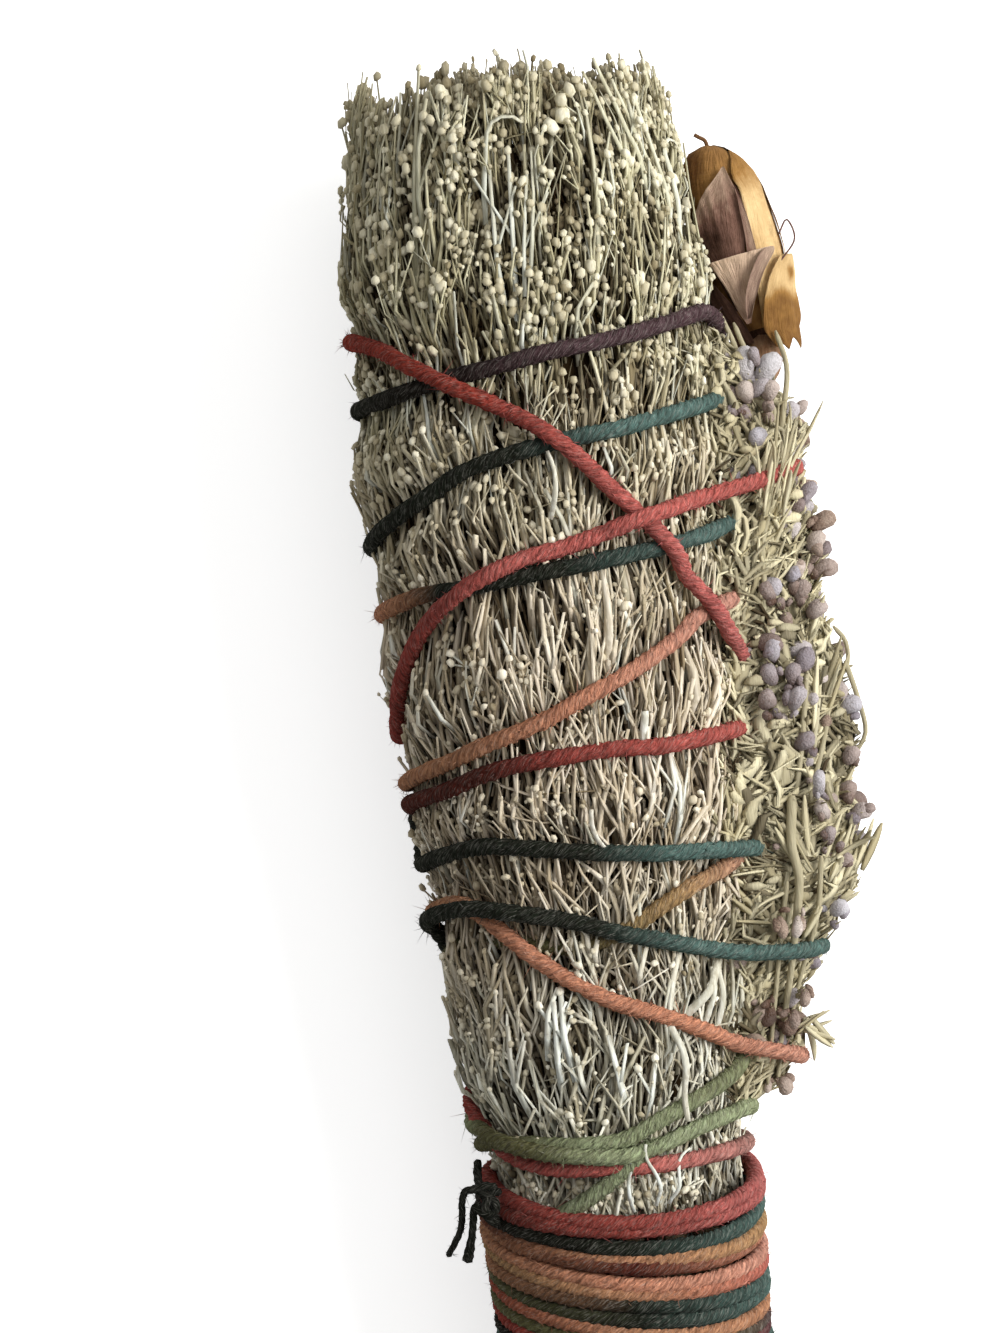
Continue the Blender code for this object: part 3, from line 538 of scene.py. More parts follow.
@functools.lru_cache
def sage_shapes():
    """The unit shapes of the foliage: stalks, forks, budded stalks, clusters, twigs and leaves."""
    return {
        "stalk": limb(3),
        "fork": joined_shape(limb(3), limb(1, 0.38, 0.86, 0.17, 0.75)),
        "budded": joined_shape(limb(2), bud(seed=1)),
        "club": joined_shape(limb(2), bud(length=1.8, seed=2)),
        "cluster": joined_shape(
            limb(2), bud(seed=3), bud(0.84, 0.13, seed=4), bud(0.72, -0.1, size=0.85, seed=5)
        ),
        "twig": joined_shape(limb(2), limb(1, 0.5, 0.86, -0.2, 0.8), bud(seed=6), bud(0.88, -0.2, seed=7)),
        "spray": joined_shape(
            limb(2, width=0.8), bud(size=0.9, seed=8), bud(0.86, 0.14, size=0.8, seed=9),
            bud(0.74, -0.12, size=0.75, seed=10), bud(0.6, 0.1, size=0.6, seed=12),
        ),
        "leaf": limb(2, width=1.6, flat=0.35),
    }


# How many steps a stalk's path is worked out in.
PATH_STEPS = 20
# Depth under the surface at which stalks have the shaded colour, which is painted shade, and where and how
# gently that fades out towards the tips, all in millimetres.
SHADED_DEPTH = 2.6
SHADE_END = 206
SHADE_FADE = 9


def strew(shape, copies, surface):
    """Copies of a shape on bent paths along the bunch, as corners in metres, triangles and tones.

    copies holds arrays with one value a copy: turn, along, length, heading, bend, hook, wave, pace, phase,
    start (depth of the foot), run (depth of the rest), rise (share at which it gets there), lift (of the
    tip), stalk and bud (radii), roll, light and grey. surface(turn, along) is the distance from the middle.
    """
    rows, triangles = shape
    across, lift, ahead, share, aside, on_bud = (column[None] for column in rows.T)
    one = SimpleNamespace(**{name: values[:, None] for name, values in copies.items()})
    grid = np.linspace(0, 1, PATH_STEPS + 1)[None]
    facing = one.heading + one.bend * grid + one.hook * np.clip((grid - 0.62) / 0.38, 0, 1)
    facing = facing + one.wave * np.sin(one.pace * grid + one.phase)
    step = one.length / PATH_STEPS
    sideways, forwards = (
        np.concatenate((np.zeros_like(step), np.cumsum(way(facing[:, :-1]) * step, axis=1)), axis=1)
        for way in (np.sin, np.cos)
    )
    low = np.minimum((share[0] * PATH_STEPS).astype(int), PATH_STEPS - 1)
    part = share * PATH_STEPS - low
    facing, sideways, forwards = (
        values[:, low] * (1 - part) + values[:, low + 1] * part for values in (facing, sideways, forwards)
    )
    radius = np.where(on_bud > 0, one.bud, one.stalk * (1.12 - 0.4 * share))
    rolled = across * np.cos(one.roll) - lift * np.sin(one.roll)
    raised = across * np.sin(one.roll) + lift * np.cos(one.roll)
    right = aside * one.length + radius * rolled
    sideways = sideways + right * np.cos(facing) + radius * ahead * np.sin(facing)
    forwards = forwards - right * np.sin(facing) + radius * ahead * np.cos(facing)
    turn = one.turn + np.degrees(sideways / profile(TIED_RADIUS, one.along))
    along = one.along + forwards
    depth = one.start + (one.run - one.start) * eased(np.clip(share / one.rise, 0, 1))
    depth = depth - one.lift * np.clip((share - 0.6) / 0.4, 0, 1) ** 1.5
    points = settle(place(turn, along, surface(turn, along) - depth + radius * raised))
    # Painted shade: how deep each place lies under the surface, less near the tips.
    shade = np.clip((depth - radius * raised) / SHADED_DEPTH, 0, 1)
    shade = shade * np.clip((SHADE_END - along) / SHADE_FADE, 0.2, 1)
    tones = stacked(np.where(on_bud > 0, 1.0, share * 0.6), one.light, one.grey, shade)
    return points.reshape(-1, 3), repeated(triangles, len(points), len(rows)), tones.reshape(-1, 4)


def make_piece(name, parts, materials, nodes):
    """One smooth piece, which rides on the stick in place of its CAD nodes.

    Each part has corners in metres, triangles, tones, own places if it has any, and the number of its
    material.
    """
    corners, triangles, tones, *spots, numbers = zip(*parts)
    starts = np.cumsum([0, *map(len, corners)])
    triangles = [these + start for these, start in zip(triangles, starts)]
    numbers = [np.full(len(these), number) for these, number in zip(triangles, numbers)]
    corners, triangles = np.vstack(corners), np.vstack(triangles)
    mesh = bpy.data.meshes.new(name)
    mesh.vertices.add(len(corners))
    mesh.vertices.foreach_set("co", corners.astype(np.float32).ravel())
    mesh.loops.add(triangles.size)
    mesh.loops.foreach_set("vertex_index", triangles.astype(np.int32).ravel())
    mesh.polygons.add(len(triangles))
    mesh.polygons.foreach_set("loop_start", np.arange(0, triangles.size, 3, dtype=np.int32))
    mesh.polygons.foreach_set("material_index", np.concatenate(numbers).astype(np.int32))
    mesh.update(calc_edges=True)
    mesh.shade_smooth()
    tone = mesh.attributes.new("tone", "FLOAT_COLOR", "POINT")
    tone.data.foreach_set("color", np.vstack(tones).astype(np.float32).ravel())
    for own in spots:
        place_attribute = mesh.attributes.new("own_place", "FLOAT_VECTOR", "POINT")
        place_attribute.data.foreach_set("vector", np.vstack(own).astype(np.float32).ravel())
    for material in materials:
        mesh.materials.append(material)
    piece = link_object(name, mesh)
    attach(piece, "root")
    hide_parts(*nodes)


def link_object(name, data):
    """A new object in the scene."""
    item = bpy.data.objects.new(name, data)
    bpy.context.scene.collection.objects.link(item)
    return item


class Nodes:
    """A short way to write a material's nodes. Where a value is asked for, a socket may be given instead."""

    def __init__(self, name, roughness, specular=0.5):
        self.material = bpy.data.materials.new(name)
        self.material.use_nodes = True
        self.tree = self.material.node_tree
        self.shader = self.tree.nodes["Principled BSDF"]
        self.shader.inputs["Roughness"].default_value = roughness
        self.shader.inputs["Specular IOR Level"].default_value = specular

    def give(self, socket, value):
        """Links or sets a socket. A colour has three values."""
        if isinstance(value, bpy.types.NodeSocket):
            self.tree.links.new(value, socket)
        else:
            socket.default_value = (*value, 1.0) if socket.type == "RGBA" else value

    def add(self, kind, **settings):
        """A node with its settings and the values of its inputs, by their names."""
        node = self.tree.nodes.new(f"ShaderNode{kind}")
        for name, value in settings.items():
            socket = next((item for item in node.inputs if name in (item.identifier, item.name)), None)
            if socket is None:
                setattr(node, name, value)
            else:
                self.give(socket, value)
        return node

    def tone(self):
        """The three parts and the fourth value of the tone that each place carries."""
        tone = self.add("Attribute", attribute_name="tone").outputs
        return *self.add("SeparateColor", Color=tone["Color"]).outputs, tone["Alpha"]

    def own_place(self, *scale):
        """A piece's own places in millimetres, stretched by a scale."""
        spot = self.add("Attribute", attribute_name="own_place").outputs["Vector"]
        return self.add("Mapping", Vector=spot, Scale=scale).outputs[0] if scale else spot

    def places(self, *scale):
        """Object coordinates in millimetres, stretched by a scale."""
        coordinates = self.add("TexCoord").outputs["Object"]
        scale = tuple(1000 * value for value in scale or (1, 1, 1))
        return self.add("Mapping", Vector=coordinates, Scale=scale).outputs[0]

    def spread(self, value, low, high, to_low=0.0, to_high=1.0):
        """A value spread from one range over another."""
        node = self.add("MapRange", Value=value)
        for socket, end in zip(node.inputs[1:5], (low, high, to_low, to_high)):
            socket.default_value = end
        return node.outputs[0]

    def noise(self, vector, scale, detail=3.0, low=0.35, high=0.65):
        """Noise spread over 0 to 1 between a low and a high value."""
        pattern = self.add("TexNoise", Vector=vector, Scale=scale, Detail=detail)
        return self.spread(pattern.outputs["Fac"], low, high)

    def mix(self, share, first, second, blend="MIX"):
        """A mix of two colours."""
        node = self.add("Mix", data_type="RGBA", blend_type=blend)
        for number, value in zip((0, 6, 7), (share, first, second)):
            self.give(node.inputs[number], value)
        return node.outputs[2]

    def maths(self, operation, *values):
        """The result of a sum on two or three values."""
        node = self.add("Math", operation=operation)
        for value, socket in zip(values, node.inputs):
            self.give(socket, value)
        return node.outputs[0]

    def times(self, first, second):
        """Two values multiplied."""
        return self.maths("MULTIPLY", first, second)

    def less(self, value):
        """What is left of 1 after a value."""
        return self.maths("SUBTRACT", 1.0, value)

    def finish(self, colour, height=None, strength=0.5, distance=0.0002):
        """Joins the colour and, from a height, a bump to the shader. Returns the material."""
        self.give(self.shader.inputs["Base Color"], colour)
        if height is not None:
            bump = self.add("Bump", Height=height, Strength=strength, Distance=distance)
            self.give(self.shader.inputs["Normal"], bump.outputs[0])
        return self.material


def sage_material(settings):
    """Dried stalks, leaves and buds, each with its own tone, greener near the tips and dark brown deep in
    the bunch, which is painted shade.
    """
    nodes = Nodes("dried_sage", 0.9, 0.2)
    tip, light, silver, shade = nodes.tone()
    places = nodes.places()
    upwards = nodes.add("SeparateXYZ", Vector=places).outputs[1]
    height = nodes.maths("MULTIPLY_ADD", nodes.noise(places, 0.07, 2.0, 0.3, 0.7), 24.0, upwards)
    colour = settings.silver_colour
    for low, high, above in ((82, 112, settings.stalk_colour), (135, 185, settings.olive_colour)):
        colour = nodes.mix(nodes.spread(height, BASE_Y + low, BASE_Y + high), colour, above)
    bud_tint = nodes.mix(0.6, colour, settings.bud_colour)
    colour = nodes.mix(silver, colour, settings.grey_colour)
    colour = nodes.mix(nodes.maths("POWER", tip, 1.6), colour, bud_tint)
    streaks = nodes.noise(nodes.places(1, 0.12, 1), 2.2)
    # The light tone scales each stalk's colour, warmer as it gets darker: partly random tone, partly painted
    # shade on deeper stalks.
    level = nodes.times(nodes.spread(light, 0, 1, 0.42, 1.1), nodes.maths("MULTIPLY_ADD", streaks, 0.3, 0.8))
    greener, bluer = nodes.maths("POWER", level, 1.12), nodes.maths("POWER", level, 1.4)
    grey = nodes.add("CombineColor", Red=level, Green=greener, Blue=bluer).outputs[0]
    colour = nodes.mix(1.0, colour, grey, "MULTIPLY")
    # Painted shade: the deeper a stalk lies under the surface, the more it takes the dark shaded colour.
    colour = nodes.mix(nodes.maths("POWER", shade, 0.8), colour, settings.shaded_colour)
    return nodes.finish(colour, streaks, 0.35, 0.0001)


def scaled(colour, factor):
    """A darker or paler colour."""
    return tuple(min(1.0, value * factor) for value in colour)


def heart_shade_material(settings):
    """The dark inside of the bunch, between the stalks: painted shade, a dark body where the real bunch has
    only shaded stalks.
    """
    nodes = Nodes("sage_heart", 1.0, 0.05)
    grain = nodes.noise(nodes.places(1, 0.15, 1), 1.6)
    colour = nodes.mix(grain, scaled(settings.heart_shade_colour, 0.35), settings.heart_shade_colour)
    return nodes.finish(colour, grain, 0.6, 0.0004)


def bark_material(settings):
    """Cut woody stems: streaked bark, and paler wood with a darker pith where they are cut."""
    nodes = Nodes("sage_bark", 0.85)
    bark = settings.bark_colour
    streaks = nodes.noise(nodes.places(1, 0.08, 1), 1.5)
    cut = nodes.mix(nodes.noise(nodes.places(), 3.5), scaled(bark, 1.3), scaled(bark, 1.9))
    bark = nodes.mix(streaks, scaled(bark, 0.45), bark)
    return nodes.finish(nodes.mix(nodes.tone()[0], bark, cut), streaks, 0.6, 0.0003)


def grow(rings):
    """A closed body through rings of points in metres, extruded ring by ring, as corners and triangles."""
    built = bmesh.new()
    cap = built.faces.new([built.verts.new(point) for point in rings[0]])
    for number, ring in enumerate(rings[1:]):
        grown = bmesh.ops.extrude_face_region(built, geom=[cap])["geom"]
        if number and cap.is_valid:
            bmesh.ops.delete(built, geom=[cap], context="FACES_ONLY")
        cap = next(item for item in grown if isinstance(item, bmesh.types.BMFace))
        for vert, point in zip(cap.verts, ring):
            vert.co = point
    return as_arrays(built)


def toned(body, tone):
    """A body with an even tone, and its places in millimetres as its own places."""
    corners, triangles = body
    return corners, triangles, np.tile(np.array(tone, float), (len(corners), 1)), corners / MM


# Where the shaded inside of a sprig starts, and how far under the tips it starts to close.
HEART_START = 50.0
HEART_TOP = 13.0


def heart_of_sprig(low_turn, high_turn, low_share, high_share, tip):
    """The painted shade inside a sprig: a dark wedge from the handle to just below its tips."""
    rings = []
    turns = np.linspace(low_turn, high_turn, 5)
    for along in np.linspace(HEART_START, tip - HEART_TOP, 16):
        radius = float(profile(TIED_RADIUS, along)) - 0.9
        outer = place(turns, along, high_share * radius)
        rings.append(settle(np.vstack((outer, place(turns[::-1], along, max(low_share * radius, 0.4))))))
    last = rings[-1].mean(axis=0)
    rings.append(last + (rings[-1] - last) * 0.5 + np.array((0, 3 * MM, 0)))
    return (*toned(grow(rings), (0, 0.5, 0, 1))[:3], 1)


def cut_stem(rng, x, z, radius, base, top, sides=10):
    """A slightly knobbly cut stem, with tones that are 1 on the cut face.

    x and z are its distance from the bunch's middle.
    """
    angles = np.linspace(0, 2 * np.pi, sides, endpoint=False)
    slope = rng.uniform(-0.25, 0.25, 2)
    rings = [(0.12, base), (0.55, base), (0.9, base), (1.0, base + 0.25)]
    rings += [(1 + rng.uniform(-0.08, 0.08), along) for along in np.arange(base + 4, top, 6.0)]
    places = []
    for number, (share, along) in enumerate(rings):
        across, up = radius * share * np.sin(angles), radius * share * np.cos(angles)
        if number < 4:
            along = along + slope[0] * across + slope[1] * up
        sag = 0.3 * np.sin(along * 0.11 + x)
        height = np.full(sides, z) + up + profile(AXIS_HEIGHT, 0.0)
        places.append(stacked(AXIS_X + x + sag + across, BASE_Y + along, height) * MM)
    corners, triangles = grow(places)
    tones = np.repeat((0.35, 1.0, 1.0, *[0.0] * (len(rings) - 3)), sides)
    nearest = search_tree(np.vstack(places))
    tone = [tones[nearest.find(corner)[1]] for corner in corners]
    return corners, triangles, stacked(tone, 0.0, 0.0, 1.0), 2


# How often each shape grows where stalks show most and where buds show most, and its shortest and longest
# length in millimetres.
SHAPE_GROWTH = {
    "stalk": (0.5, 0.08, 9, 24), "fork": (0.22, 0.07, 8, 19), "budded": (0.08, 0.27, 4, 10),
    "club": (0.05, 0.12, 4, 9), "cluster": (0.02, 0.18, 4, 8), "twig": (0.07, 0.1, 5, 11),
    "spray": (0, 0.12, 5, 10), "leaf": (0.06, 0.06, 3, 7),
}
# How stalky the top of the bunch is, along the stick.
STALKINESS = (
    (50, 0.6), (60, 0.9), (100, 0.85), (112, 0.8), (140, 0.75), (150, 0.45), (166, 0.12), (190, 0.12),
    (207, 0.4),
)
# How curly stalks are along the stick, as a share of the common bends.
CURLINESS = ((50, 1.7), (96, 1.7), (106, 1.1), (130, 0.9), (207, 0.9))
# How thick stalks are along the stick, as a share of the common width.
STALK_WIDTHS = ((50, 0.9), (70, 1), (130, 1), (160, 0.86), (172, 0.74), (207, 0.7))
# How big buds are along the stick, as a share of the common width.
BUD_SIZES = ((50, 0.95), (130, 0.95), (165, 1.3), (200, 1.35))
# How much deeper the stalks lie in the hollows between tufts, in millimetres.
HOLLOW_DEPTH = 2.6
# The middle and the spread of the stalky top of the bunch, in degrees round it.
STALKY_TURN = 28
STALKY_SPREAD = 52
# The shares of the stalks that stray, that end in a hook and that are silvery.
STRAY_SHARE = 0.05
HOOKED_SHARE = 0.25
SILVERY_SHARE = 0.22


def sprout(rng, settings, turn, along, depths, end, reach=1.0):
    """Foliage that grows from given places, as parts of a piece.

    depths are those of the feet and of the rest of the stalks. end is about how far along they may reach,
    and reach lengthens them.
    """
    count = len(turn)
    end = end + rng.normal(0, 1.3, count)
    nearest = (turn + 180) % 360 - 180
    front = np.exp(-(((nearest - STALKY_TURN) / STALKY_SPREAD) ** 2))
    stalky = 0.18 + (profile(STALKINESS, along) - 0.18) * front
    stalky = np.where(np.abs(nearest) > 110, 0.5, stalky)
    clump = noise_at(turn * 0.045, along * 0.06, 4.0)
    fine = noise_at(turn * 0.16, along * 0.14, 9.0)
    curly = profile(CURLINESS, along)
    stray = rng.random(count) < STRAY_SHARE * curly
    heading = 8 * clump + 6 * fine + rng.normal(0, 6, count) + stray * rng.uniform(-75, 75, count)
    size = np.exp(rng.normal(0, 0.32, count))
    bud_size = np.exp(rng.normal(0, 0.27, count)) * profile(BUD_SIZES, along)
    start, run = depths
    tufts = noise_at(turn * 0.11, along * 0.13, 21.0)
    run = run + HOLLOW_DEPTH * np.clip(0.12 - tufts, 0, 0.5) * 2
    copies = dict(
        turn=turn,
        along=along,
        heading=np.radians(heading),
        bend=np.radians(rng.normal(0, 10, count)) * curly,
        hook=np.radians(rng.normal(0, 30, count)) * curly * (rng.random(count) < HOOKED_SHARE * curly),
        wave=np.radians(rng.gamma(2.0, 3.2, count)) * curly,
        pace=rng.uniform(5, 11, count),
        phase=rng.uniform(0, 2 * math.pi, count),
        start=start,
        run=run,
        rise=rng.uniform(0.2, 0.6, count),
        lift=np.clip(rng.normal(0.1, 0.45, count), -0.8, 1.3),
        stalk=settings.stalk_width / 2 * size * profile(STALK_WIDTHS, along),
        bud=settings.bud_width / 2 * bud_size,
        roll=rng.uniform(-math.pi, math.pi, count),
        # A stalk's light tone differs at random, and deeper stalks are made darker, which is painted shade.
        light=np.clip(rng.normal(0.64, 0.24, count) + 0.25 * fine - 0.14 * np.clip(run, -1, 2), 0, 1),
        grey=(rng.random(count) < SILVERY_SHARE) * rng.random(count),
    )
    draw, length_draw = rng.random(count), rng.random(count)
    low = np.zeros(count)
    parts = []
    for name, shape in sage_shapes().items():
        at_stalks, at_buds, shortest, longest = SHAPE_GROWTH[name]
        share = stalky * at_stalks + (1 - stalky) * at_buds
        chosen = (draw >= low) & (draw < low + share)
        low = low + share
        if not chosen.any():
            continue
        some = {key: values[chosen] for key, values in copies.items()}
        some["length"] = (shortest + (longest - shortest) * length_draw[chosen]) * reach
        some["length"] = np.minimum(some["length"], np.maximum(end[chosen] - some["along"], 2.5))
        parts.append((*strew(shape, some, surface_out), 0))
    return parts


# Single stalks that stand out, by their shape, each as its foot (turn, along), length, heading and bend in
# degrees, width, how light and how silvery it is, its height over the foliage and, if it has one, its hook.
FEATURE_STALKS = {
    "spray": (
        (-37, 177, 29, 1, 3, 0.9, 0.75, 0.2, 0.4),
    ),
    "fork": (
        (-33, 182, 20, -4, 8, 0.8, 0.8, 0.2, 0.3, 20), (-9, 173, 18, -3, 4, 0.7, 0.8, 0.8, 0.4),
        (-3, 174, 16, 5, 3, 0.6, 0.8, 0.8, 0.4), (-1, 176, 17, 9, -6, 0.6, 0.8, 0.5, 0.4),
        (20, 178, 20, 6, -5, 0.8, 0.85, 0.2, 0.4), (20, 103, 14, 2, 4, 1, 0.95, 0.2, 0.5),
        (6, 118, 16, 2, -4, 0.9, 0.9, 0.1, 0.4), (-4, 120, 15, -9, 8, 0.8, 0.9, 0.1, 0.4),
        (32, 100, 13, -6, 8, 0.9, 1, 0.8, 0.5), (58, 73, 12, 4, -4, 0.8, 0.6, 0.4, 0.8),
        (-20, 70, 12, 6, -8, 0.8, 1, 0.8, 0.5), (-24, 74, 10, 14, -14, 0.8, 1, 0.7, 0.5, 30),
        (-36, 66, 13, -8, 12, 0.8, 0.9, 0.5, 0.5), (5, 66, 11, -12, 8, 0.9, 1, 0.8, 0.5),
    ),
    "twig": (
        (-6, 171, 22, 1, 3, 0.75, 0.85, 0.9, 0.4), (27, 102, 13, 7, -4, 0.9, 1, 0.7, 0.5),
        (-14, 71, 12, -6, 6, 0.9, 1, 0.9, 0.6), (12, 63, 10, 10, -6, 0.8, 1, 0.8, 0.6),
    ),
    "stalk": (
        (-13, 184, 18, 4, 4, 0.8, 0.8, 0.7, 0.4, 150), (38, 186, 18, -14, -6, 0.68, 0.9, 0.2, 0.5),
        (45, 187, 19, -16, -4, 0.75, 0.9, 0.2, 0.7), (50, 184, 19, -12, -8, 0.68, 0.9, 0.2, 0.6),
        (57, 182, 20, -9, -6, 0.68, 0.9, 0.3, 0.6), (64, 180, 19, -6, -4, 0.8, 0.9, 0.6, 0.8, 170),
        (22, 111, 8, -4, 3, 1.3, 1, 0.9, 0.6), (12, 124, 16, -2, 6, 1.1, 0.9, 0.1, 0.5),
        (31, 77, 10, 38, 2, 1.5, 0.6, 0.5, 1.3), (42, 74, 10, 10, -4, 0.9, 0.75, 0.8, 1),
        (50, 73, 11, 2, -2, 0.9, 0.7, 0.7, 0.9), (66, 72, 11, -2, 2, 0.8, 0.5, 0.3, 0.8),
        (37, 78, 8, 30, 0, 0.8, 0.7, 0.8, 1), (24, 79, -15, -4, 0, 1, 0.75, 0.4, 2.7),
        (-2, 145, 9, 22, -40, 0.7, 1, 0.5, 2.4), (9, 100, 8, -50, 60, 0.7, 1, 0.5, 2.2),
        (14, 53, 9, 12, -60, 0.5, 1, 0.9, 2.6, 60), (4, 52.5, 9, -16, 50, 0.5, 1, 0.9, 2.6, -70),
        (20, 53, 8, 20, -30, 0.5, 1, 0.9, 2.6, 80),
    ),
}


def feature_stalks(settings, lowest, highest):
    """The single stalks that stand out between two turns, as parts of a piece."""
    shapes = {**sage_shapes(), "stalk": limb(12, flat=0.5, sides=6)}
    parts = []
    for kind, rows in FEATURE_STALKS.items():
        for turn, along, length, heading, bend, width, light, grey, over, *hook in rows:
            if lowest <= turn < highest:
                copy = dict(
                    turn=turn, along=along, length=length, heading=math.radians(heading),
                    bend=math.radians(bend), hook=math.radians(*hook or (0,)), wave=0.03, pace=7.0,
                    phase=turn, start=0.8 - 0.5 * over,
                    run=-over, rise=0.35, lift=0.0, stalk=width / 2, bud=settings.bud_width * 0.7, roll=0.6,
                    light=light, grey=grey,
                )
                copy = {name: np.array([float(value)]) for name, value in copy.items()}
                parts.append((*strew(shapes[kind], copy, surface_out), 0))
    return parts


# How full the foliage is at each angle from the top of the lying bunch, as a share of the common fullness.
FULLNESS_ROUND = ((0, 1), (60, 1), (88, 0.84), (116, 0.55), (145, 0.42), (180, 0.38))
# Where the foliage starts along the stick, and its common distance from the middle, for its area.
FOLIAGE_START = 53.0
FOLIAGE_RADIUS = 24.0
# The share of the foliage that lies further in than the rest, and how much is added at the neck.
INNER_SHARE = 0.36
NECK_SHARE = 0.07


def grow_outer_sprig(index, settings, materials):
    """One of the sprigs on the outside of the bunch, from its cut stem to its tips."""
    rng = np.random.default_rng(settings.seed * 100 + index)
    lowest = index == OUTER_SPRIGS // 2
    steps = index if index <= OUTER_SPRIGS // 2 else index - OUTER_SPRIGS
    middle = 180.0 if lowest else 2 * OUTER_HALF_ANGLE * steps
    half = REST_HALF_ANGLE if lowest else OUTER_HALF_ANGLE
    tip = OUTER_TIPS[index]
    angle = math.radians(middle)
    x, z = OUTER_STEM_RING * math.sin(angle), OUTER_STEM_RING * math.cos(angle)
    parts = [
        heart_of_sprig(middle - half, middle + half, 0.56, 1.0, tip),
        cut_stem(rng, x, z, STEM_RADIUS, 1.5 + index % 3, 60.0, 14),
    ]
    area = math.radians(2 * half) * FOLIAGE_RADIUS * (tip - 3.0 - FOLIAGE_START)
    count = int(area * settings.fullness * float(profile(FULLNESS_ROUND, abs(middle))))
    turn = middle + rng.uniform(-half, half, count)
    along = FOLIAGE_START + (tip - 4.0 - FOLIAGE_START) * rng.random(count) ** 0.88
    inner = rng.random(count) < INNER_SHARE
    start = np.where(inner, rng.uniform(2.4, 4.2, count), rng.uniform(1.0, 2.8, count))
    run = np.where(inner, rng.uniform(1.1, 2.4, count), rng.normal(0.1, 0.45, count))
    end = 205.6 - 3.4 * max(math.cos(angle), 0.0) + 0.5 * (tip - 201.5)
    parts += sprout(rng, settings, turn, along, (start, run), end)
    parts += feature_stalks(settings, middle - half, middle + half)
    parts += crown(rng, settings, (middle - half, middle + half), (0.54, 0.92), tip, 100)
    neck = int(count * NECK_SHARE)
    turn = middle + rng.uniform(-half, half, neck)
    along = rng.uniform(48.5, 54.0, neck)
    depths = (rng.uniform(0.5, 1.6, neck), rng.uniform(0.0, 0.9, neck))
    parts += sprout(rng, settings, turn, along, depths, 75.0, 0.8)
    end = f"outer_{index + 1:02d}"
    make_piece(f"sage_foliage_{end}", parts, materials, [f"sage_sprig_{end}"])


# How deep under the foliage's surface the tips at the middle of the top end stand, and how shaded tips are.
CROWN_DEPTH = 22.0
CROWN_SHADE = 0.25


def crown(rng, settings, turns, shares, tip, count):
    """The tips seen at the top end of the bunch, between two turns and two shares of its radius."""
    share = rng.uniform(shares[0] ** 2, shares[1] ** 2, count) ** 0.5
    depths = ((1 - share) * CROWN_DEPTH, (1 - share) * CROWN_DEPTH - 0.3)
    places = rng.uniform(*turns, count), tip - rng.uniform(1.5, 16, count)
    parts = sprout(rng, settings, *places, depths, tip - 1.0)
    for _, _, tones, _ in parts:
        tones[:, 3] = CROWN_SHADE
    return parts


def grow_inner_sprig(end, seed, turns, shares, ring, tip, settings, materials):
    """A sprig inside the bunch between two turns and two shares of its radius, seen at both its ends."""
    rng = np.random.default_rng(settings.seed * 100 + 50 + seed)
    parts = [heart_of_sprig(*turns, *shares, tip)]
    middle = math.radians(sum(turns) / 2)
    x, z = ring * math.sin(middle), ring * math.cos(middle)
    parts.append(cut_stem(rng, x, z, STEM_RADIUS, 1.0 + seed % 2, 60.0, 14))
    for _ in range(4):
        aside = rng.uniform(-4.2, 4.2, 2)
        width, low = rng.uniform(0.5, 1.0), rng.uniform(1, 4)
        parts.append(cut_stem(rng, x + aside[0], z + aside[1], width, low, 24.0, 7))
    parts += crown(rng, settings, turns, shares, tip, 170)
    make_piece(f"sage_foliage_{end}", parts, materials, [f"sage_sprig_{end}"])


def grow_sage(settings):
    """The nineteen sage sprigs."""
    materials = [sage_material(settings), heart_shade_material(settings), bark_material(settings)]
    for index in range(OUTER_SPRIGS):
        grow_outer_sprig(index, settings, materials)
    for index, tip in enumerate(INNER_TIPS):
        turns = (60.0 * index - 30, 60.0 * index + 30)
        end, depths = f"inner_{index + 1}", (0.2, 0.58)
        grow_inner_sprig(end, index, turns, depths, INNER_STEM_RING, tip, settings, materials)
    grow_inner_sprig("centre", 9, (0, 360), (0.0, 0.22), 0.0, CENTRE_TIP, settings, materials)


def yarn_material():
    """Fuzzy plied yarn in the dye that each place carries, with painted shade between the plies."""
    nodes = Nodes("dyed_yarn", 1.0, 0.05)
    tone = nodes.add("Attribute", attribute_name="tone").outputs
    spot, dye = nodes.own_place(), tone["Color"]
    fibres = nodes.noise(nodes.own_place(1, 1, 0.45), 3.4, 5.0)
    lumps, mottle = nodes.noise(spot, 1.3, 3.0), nodes.noise(spot, 0.35, 2.0)
    hairs = nodes.noise(nodes.own_place(1, 1, 0.2), 6.0, 4.0, 0.5, 0.75)
    darker = nodes.mix(1.0, dye, (0.55, 0.5, 0.5), "MULTIPLY")
    colour = nodes.mix(fibres, darker, dye)
    colour = nodes.mix(nodes.times(hairs, 0.4), colour, (0.6, 0.57, 0.5))
    colour = nodes.mix(nodes.times(lumps, 0.3), colour, darker)
    colour = nodes.mix(nodes.times(mottle, 0.3), colour, darker)
    # Painted shade: the grooves between the plies are darkened towards black.
    valley_shade = nodes.times(nodes.less(tone["Alpha"]), lumps)
    colour = nodes.mix(nodes.times(valley_shade, 0.6), colour, (0.012, 0.008, 0.006))
    return nodes.finish(colour, nodes.maths("ADD", fibres, lumps), 0.9, 0.00022)


# How far in the yarn's surface lies between two plies, as a share of its radius, and how much thicker than
# its common diameter the yarn is spun.
PLY_VALLEY = 0.84
SPUN_THICKER = 1.02


def make_ply_outline(plies):
    """A closed curve object of radius 1: the outline of soft strands pressed together."""
    data = bpy.data.curves.new("ply_outline", "CURVE")
    data.dimensions = "2D"
    line = data.splines.new("POLY")
    line.use_cyclic_u = True
    line.points.add(2 * plies - 1)
    for index, point in enumerate(line.points):
        angle = math.pi * index / plies
        radius = 1.0 if index % 2 else PLY_VALLEY
        point.co = (radius * math.cos(angle), -radius * math.sin(angle), 0, 1)
    return link_object("ply_outline", data)


